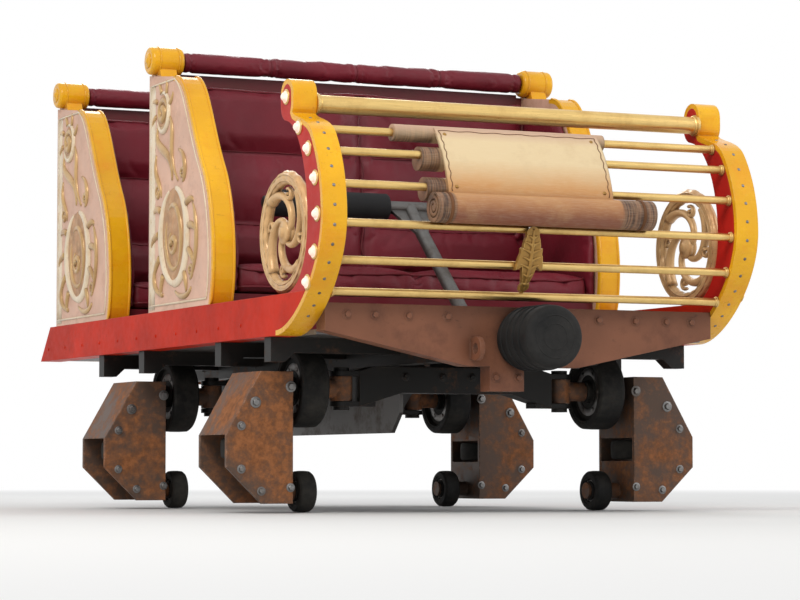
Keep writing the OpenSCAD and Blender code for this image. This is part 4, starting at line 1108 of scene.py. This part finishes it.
def rim_screws(bm):
    for s in (-1, 1):
        for angle in range(-52, 66, 8):
            far = round_hoop(angle, 0.6, s * X_MID)
            toward = HOOP + Vector((s * X_MID, 0, 0)) - far
            stud(bm, rim_tree, far, toward, 0.0042, facing_by=0.8)


def lamp_sockets(bm):
    for lo, hi in parts_of("hoop_lamps"):
        middle, r = (lo + hi) / 2, (hi.y - lo.y) / 2
        s = 1 if middle.x > 0 else -1
        profile = [(r + 0.0045, 0.0), (r + 0.0045, 0.0022), (r + 0.0028, 0.0038), (r - 0.0006, 0.0038),
                   (r - 0.0006, 0.0)]
        add_lathe(bm, profile, facing((s * (X_OUT - 0.001), middle.y, middle.z), (s, 0, 0)), 20)


piece("rim_screws", rim_screws, "bare_steel", "hub_steel", smooth=EDGE)
piece("lamp_sockets", lamp_sockets, "polished_brass", smooth=EDGE)

# Grille: a collar at both ends of each bar and of the top tube
BARS = (  # angle, share of the hoop's radius
    (43.8, 0.915), (30.3, 0.925), (14.4, 0.925), (-2.7, 0.925), (-19.3, 0.905), (-35.8, 0.8735))
BAR_R, TUBE_R = 0.0095, 0.021
TUBE_Y, TUBE_Z = -0.825, 0.947


def collar(bm, s, y, z, r, wide, long):
    """A collar round a bar of radius r where it meets the hoop on one side."""
    add_lathe(bm, [(r + wide, 0.0), (r + wide, long * 0.35), (r + wide * 0.55, long * 0.5),
                   (r + wide * 0.55, long * 0.8), (r + 0.0002, long)],
              facing((s * (X_IN - 0.0004), y, z), (-s, 0, 0)), 24)


def grille_collars(bm):
    for s in (-1, 1):
        for angle, share in BARS:
            p = round_hoop(angle, HOOP_R * share)
            collar(bm, s, p.y, p.z, BAR_R, 0.0035, 0.008)
        collar(bm, s, TUBE_Y, TUBE_Z, TUBE_R, 0.0045, 0.012)


piece("grille_collars", grille_collars, "polished_brass", smooth=EDGE)

# Rosettes: an open ring with a scalloped rim, four scrolls and a turned hub
ROSETTE = Vector((0.540, -0.734, 0.654))
ROSETTE_RING = 0.1285
ROSETTE_HUB = [(0.016, 0.0), (0.028, 0.0), (0.028, 0.009), (0.023, 0.012), (0.014, 0.0125), (0.012, 0.016),
               (0.006, 0.018), (0.002, 0.0185)]


def rosette(side):
    s = SIDES[side]
    middle = Vector((s * ROSETTE.x, ROSETTE.y, ROSETTE.z))

    def fill(bm):
        add_tube(bm, circle(middle, ROSETTE_RING, 144), [0.0168 + 0.0009 * math.cos(24 * a) for a in turns(144)],
                 12, flat=((1, 0, 0), 0.72), closed=True)
        for out in (-1, 1):
            for r in (ROSETTE_RING - 0.007, ROSETTE_RING + 0.007):
                bead = circle(middle + Vector((s * out * 0.0108, 0, 0)), r, 72)
                add_tube(bm, bead, 0.0022, 6, closed=True)
            add_lathe(bm, ROSETTE_HUB, facing(middle, (out, 0, 0)), 28)
        for turn in (0, 90, 180, 270):
            a = math.radians(100 + turn)
            arm = spiral(0, 0, 0.118, 0.020, 40 + turn, 165 + turn, 28)
            curl = spiral(0.088 * math.cos(a), 0.088 * math.sin(a), 0.017, 0.003, 60 + turn, 420 + turn, 22)
            for path, radii, segments, flat in ((arm, (0.0125, 0.0085, 0.0070), 10, 1.15),
                                                (curl, (0.0042, 0.0048, 0.0060), 8, 1.5)):
                path = [middle + Vector((0, p, q)) for p, q in path]
                add_tube(bm, path, taper(len(path), *radii), segments, flat=((1, 0, 0), flat))

    obj = piece(f"rosette_{side}", fill, "gold_paint")
    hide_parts(f"fretwork_{side}")


for side in SIDES:
    rosette(side)

# Sign: dark lines along the sheet's edges, nails, and a band at each end of its lower roll
INK_IN, INK_R, NAIL_IN = 0.010, 0.0011, 0.022
ROLL_LOW_Y, ROLL_LOW_Z, ROLL_LOW_R, ROLL_LOW_ENDS = -1.015, 0.700, 0.0352, (-0.262, 0.240)


def on_sheet(x, angle):
    """A point on the sign's curved sheet."""
    return round_hoop(angle, SHEET_R, x)


def sign_lines(bm):
    x0, x1 = SHEET_X0 + INK_IN, SHEET_X1 - INK_IN
    for x in (x0, x1):
        path = [on_sheet(x + 0.0016 * math.sin(a * 1.3 + x * 50), a) for a in range(12, 43)]
        add_tube(bm, path, INK_R, 6)
    top = [on_sheet(x0 + i * (x1 - x0) / 40, 42.0 + 0.25 * math.sin(i)) for i in range(41)]
    add_tube(bm, top, INK_R, 6)
    for x in ROLL_LOW_ENDS:
        band = circle((x, ROLL_LOW_Y, ROLL_LOW_Z), ROLL_LOW_R, 40)
        add_tube(bm, band, 0.0024, 6, flat=((1, 0, 0), 2.0), closed=True)


def sign_nails(bm):
    for x in (SHEET_X0 + NAIL_IN, SHEET_X1 - NAIL_IN):
        for angle in (14.0, 40.0):
            p = on_sheet(x, angle)
            d = Vector((0, p.y - HOOP.y, p.z - HOOP.z)).normalized()
            add_lathe(bm, dome(0.0048, 0.0030), facing(p - d * 0.0004, d), 14)


piece("sign_lines", sign_lines, "parchment_paint", "sign_ink")
piece("sign_nails", sign_nails, "bronze_paint", smooth=EDGE)

# Wheels: a steel disc with bolts on each face
AXES = {"run": (1, 0, 0), "guide": (0, 0, 1), "upstop": (1, 0, 0)}
DISC = (  # share of the wheel's radius, height
    (0.64, 0.0), (0.64, 0.0012), (0.60, 0.0022), (0.47, 0.0022), (0.45, 0.0012), (0.45, 0.0))
DISC_BOLTS, BOLT_CIRCLE = 6, 0.535


def wheel_discs(kind, end, side):
    node = f"{kind}_wheel_{end}_{side}"
    lo, hi = (Vector(c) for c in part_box(node))
    middle, radius = (lo + hi) / 2, (hi.y - lo.y) / 2
    axis = Vector(AXES[kind])
    off_middle = Vector((0, radius * 0.50, 0))
    tree = tree_for(node)

    def fill(bm):
        for out in (1, -1):
            d = axis * out
            at, normal = hit(tree, middle + off_middle + d * 0.2, -d)
            if at is None or abs(normal.dot(axis)) < 0.9:
                continue
            place = facing(middle + d * ((at - middle).dot(d) - 0.0004), d)
            add_lathe(bm, [(share * radius, h) for share, h in DISC], place, 40)
            r, wide = BOLT_CIRCLE * radius, 0.045 * radius + 0.001
            for t in turns(DISC_BOLTS):
                spot = place @ Vector((r * math.cos(t), r * math.sin(t), 0.0020))
                add_lathe(bm, [(wide, 0.0), (wide, 0.0016), (0.030 * radius, 0.0026)], facing(spot, d, t), 6)

    piece(f"hub_{kind}_{end}_{side}", fill, "bare_steel", "hub_steel", node, EDGE)

# Carriers: bolts on the cheek plates and on the outer face
CHEEK_BOLTS = (  # x, z, size
    (0.560, 0.262, 0.015), (0.596, 0.206, 0.012), (0.596, 0.104, 0.012), (0.545, 0.052, 0.012),
    (0.470, 0.300, 0.015), (0.470, 0.060, 0.012))


def carrier_bolts(end, side):
    s, y0 = SIDES[side], AXLE_Y[end]
    tree = tree_for(f"carrier_{end}_{side}")

    def fill(bm):
        for front in (-1, 1):
            for x, z, size in CHEEK_BOLTS:
                stud(bm, tree, (s * x, y0 + front * 0.3, z), (0, -front, 0), size, "hex", x * 31)
        for y in (-0.05, 0.05):
            for z in (0.20, 0.11):
                stud(bm, tree, (s * ASIDE, y0 + y, z), (-s, 0, 0), 0.011, "hex", z * 17)

    piece(f"carrier_bolts_{end}_{side}", fill, "bare_steel", "hub_steel", f"carrier_{end}_{side}", EDGE)


for kind in AXES:
    for end, side in CORNERS:
        wheel_discs(kind, end, side)
for end, side in CORNERS:
    carrier_bolts(end, side)

# Bolts and screws of the fixed frame
BEAM_BOLT, PLATE_BOLT, SILL_SCREW, TOP_SCREW, PANEL_SCREW = 0.013, 0.012, 0.0052, 0.0042, 0.0048
SILL_SCREW_YS = [-0.52 + 0.148 * i for i in range(11)]
TOP_SCREW_YS = [-0.40 + 0.06 * i for i in range(5)]


def beam_bolts(bm):
    beam = tree_for("front_beam")
    for x in (0.455, 0.385, 0.300, 0.200):
        for s in (-1, 1):
            stud(bm, beam, (s * x, -AHEAD, 0.458), (0, 1, 0), BEAM_BOLT, "hex", x * 9)
    for x in (-0.075, -0.015):
        stud(bm, beam, (x, -AHEAD, 0.318), (0, 1, 0), BEAM_BOLT, "hex", x)
    rear = tree_for("rear_beam")
    for x in (0.46, 0.36, 0.26, 0.16):
        for s in (-1, 1):
            stud(bm, rear, (s * x, AHEAD, 0.451), (0, -1, 0), BEAM_BOLT, "hex", x * 9)
    for x in (-0.08, 0.08):
        for z in (0.372, 0.446):
            stud(bm, rear, (x, AHEAD, z), (0, -1, 0), PLATE_BOLT, "hex", z)


def chassis_bolts(bm):
    chassis = tree_for("chassis_frame", "outriggers")
    for y in (-0.78, -0.30, -0.06, 0.06, 0.24, 0.62, 0.80):
        for s in (-1, 1):
            stud(bm, chassis, (s * 0.75, y, 0.383), (-s, 0, 0), PLATE_BOLT, "hex", y)
            stud(bm, chassis, (s * 0.200, y, 0.0), (0, 0, 1), PLATE_BOLT, "hex", y)
    for y0 in AXLE_Y.values():
        for x in (0.14, 0.04):
            for s in (-1, 1):
                for d in (-1, 1):
                    stud(bm, chassis, (s * x, y0 + d * 0.2, 0.330), (0, -d, 0), PLATE_BOLT, "hex", x)


def sill_screws(bm):
    for side, s in SIDES.items():
        tree = tree_for(f"sill_{side}")
        for y in SILL_SCREW_YS:
            stud(bm, tree, (s * ASIDE, y, 0.446), (-s, 0, 0), SILL_SCREW)
        for y in TOP_SCREW_YS:
            stud(bm, tree, (s * X_MID, y, 0.9), (0, 0, -1), TOP_SCREW)


def panel_screws(bm):
    tree = tree_for(*(f"panel_{row}_{side}" for row in ROWS for side in SIDES))
    for y in ROWS.values():
        for s in (-1, 1):
            for z in (0.545, 0.70, 0.86, 1.02):
                stud(bm, tree, (s * X_MID, y + 0.2, z), (0, -1, 0), PANEL_SCREW)


piece("beam_bolts", beam_bolts, "brown_paint", smooth=EDGE)
piece("chassis_bolts", chassis_bolts, "frame_steel", smooth=EDGE)
piece("sill_screws", sill_screws, "red_paint", smooth=EDGE)
piece("panel_screws", panel_screws, "polished_brass", smooth=EDGE)

# Buffer: raised rings round the drum and on its face
BUFFER_FACE, BUFFER_Z, BUFFER_R = -1.050, 0.409, 0.074


def buffer_rings(bm):
    for y in (-0.915, -0.945, -0.975, -1.005):
        add_tube(bm, circle((0, y, BUFFER_Z), BUFFER_R, 56, "y"), 0.0030, 6, closed=True)
    for r in (0.030, 0.050):
        add_tube(bm, circle((0, BUFFER_FACE + 0.0012, BUFFER_Z), r, 48, "y"), 0.0022, 6, closed=True)


piece("buffer_rings", buffer_rings, "buffer_rubber")

# Roll caps: a turned boss at each outer end and two beads round each cap
CAP_BACK, CAP_Z, CAP_R, CAP_HALF = 0.030, 1.1625, 0.0365, 0.045
CAP_BOSS = [(0.020, -0.002), (0.020, 0.0015), (0.016, 0.0030), (0.009, 0.0035), (0.007, 0.0055), (0.002, 0.0062)]


def cap_trim(bm):
    for y in ROWS.values():
        for s in (-1, 1):
            add_lathe(bm, CAP_BOSS, facing((s * (X_MID + CAP_HALF), y - CAP_BACK, CAP_Z), (s, 0, 0)), 28)
            for dx in (-0.030, 0.022):
                add_tube(bm, circle((s * (X_MID + dx), y - CAP_BACK, CAP_Z), CAP_R, 44), 0.0020, 6, closed=True)


piece("cap_trim", cap_trim, "yellow_paint")

# Seat backs, from behind: two mouldings, a middle bead and a row of nails
SHELL_TOP, NAIL_INSET, CORNER = 1.122, 0.050, 0.045
BEAD_LOW, BEAD_HIGH = 0.545, 1.085


def back_loop(inset):
    return rounded_loop((-X_IN + inset, SILL_TOP + inset), (X_IN - inset, SHELL_TOP - inset), CORNER)


def back_moulding(bm):
    for y in ROWS.values():
        for inset, r in ((0.022, 0.0050), (0.036, 0.0026)):
            add_tube(bm, [(x, y, z) for x, z in back_loop(inset)], r, 8, closed=True)
        add_tube(bm, line((0, y, BEAD_LOW), (0, y, BEAD_HIGH), 20), 0.0040, 8)


def back_nails(bm):
    for y in ROWS.values():
        for x, z in back_loop(NAIL_INSET)[::3]:
            add_lathe(bm, dome(0.0046, 0.0028), facing((x, y - 0.0003, z), (0, 1, 0)), 10)


piece("back_moulding", back_moulding, "maroon_shell")
piece("back_nails", back_nails, "polished_brass", smooth=EDGE)

# Floor: raised lozenges that turn from cell to cell
FLOOR_TOP, FLOOR_FRONT = 0.425, -0.815
CELL, CELLS_ACROSS, CELLS_ALONG = 0.026, 19, 66
LOZENGE_LONG, LOZENGE_SHORT, LOZENGE_HIGH = 0.0095, 0.0032, 0.0013


def floor_lozenges(bm):
    tree = tree_for("floor_pan")
    for i in range(-CELLS_ACROSS, CELLS_ACROSS + 1):
        for j in range(CELLS_ALONG):
            x, y = i * CELL, FLOOR_FRONT + j * CELL
            at, _ = hit(tree, (x, y, FLOOR_TOP + 0.06), (0, 0, -1), 0.07)
            if at is None or abs(at.z - FLOOR_TOP) > 0.0005 or abs(x) > X_IN - 0.014:
                continue
            a, b = (LOZENGE_LONG, LOZENGE_SHORT) if (i + j) % 2 else (LOZENGE_SHORT, LOZENGE_LONG)
            corners = ((a, 0), (0, b), (-a, 0), (0, -b))
            skin(bm, [[bm.verts.new((x + u * k, y + v * k, FLOOR_TOP + h)) for u, v in corners]
                      for k, h in ((1, -0.0003), (0.5, LOZENGE_HIGH))])


piece("floor_lozenges", floor_lozenges, "floor_plate", smooth=False)

# Lap bars: end caps and clamp bands on the pads
PAD_CAP = [(0.0168, -0.001), (0.0168, 0.0015), (0.0120, 0.0042), (0.004, 0.0052)]
CLAMP_XS, CLAMP_R = (0.062, 0.378), 0.0182


def lap_bar_trim(row):
    end_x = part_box(f"lap_bar_{row}")[1][0]
    y, z = PAD_Y + ROWS[row] - FRONT_ROW, PAD_Z

    def fill(bm):
        for s in (-1, 1):
            add_lathe(bm, PAD_CAP, facing((s * end_x, y, z), (s, 0, 0)), 24)
            for x in CLAMP_XS:
                add_tube(bm, circle((s * x, y, z), CLAMP_R, 28), 0.0022, 6, closed=True)

    piece(f"lap_bar_trim_{row}", fill, "bare_steel", "fin_steel", f"lap_bar_{row}")


for row in ROWS:
    lap_bar_trim(row)

# Carved bracket under the sign: a raised midrib with leaves
BRACKET_X = -0.036


def bracket_leaves(bm):
    tree = tree_for("sign_ornament")
    low, high = (c[2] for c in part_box("sign_ornament"))

    def from_front(points):
        found = [hit(tree, (x, -AHEAD, z), (0, 1, 0))[0] for x, z in points]
        return [at for at in found if at is not None]

    mid = from_front([(BRACKET_X, low + (high - low) * (0.04 + 0.92 * i / 24)) for i in range(25)])
    if len(mid) > 3:
        add_tube(bm, mid, taper(len(mid), 0.0020, 0.0052, 0.0020), 8)
    for root in mid[2:-2:3]:
        for s in (-1, 1):
            rise = [0.0032 * k - 0.00022 * k * k for k in range(7)]
            leaf = from_front([(BRACKET_X + s * 0.004 * k, root.z + up) for k, up in enumerate(rise)])
            if len(leaf) > 2:
                add_tube(bm, leaf, taper(len(leaf), 0.0034, 0.0036, 0.0010), 6)


piece("bracket_leaves", bracket_leaves, "bronze_paint")


# ---------------------------------------------------------------- floor
def build_floor():
    bm = bmesh.new()
    bmesh.ops.create_circle(bm, cap_ends=True, segments=96, radius=14.0)
    mesh = bpy.data.meshes.new("floor")
    bm.to_mesh(mesh)
    bm.free()
    t, coords = material("floor_pale")
    far = t.span(t.vector("LENGTH", coords), 3.0, 8.0)
    diffuse = t.add("ShaderNodeBsdfPrincipled", {"Base Color": (0.80, 0.79, 0.77), "Roughness": 0.9})
    white = t.add("ShaderNodeEmission", {"Color": (1.0, 1.0, 1.0), "Strength": 1.0})
    both = t.add("ShaderNodeMixShader", {0: t.mul(far, t.on_show()), 1: diffuse.outputs[0], 2: white.outputs[0]})
    t.add("ShaderNodeOutputMaterial", {0: both.outputs[0]})
    mesh.materials.append(MATERIALS["floor_pale"])
    floor = linked("floor", mesh)
    floor.location = (0.0, 0.0, -0.001)


build_floor()

scene.view_settings.view_transform = "Standard"
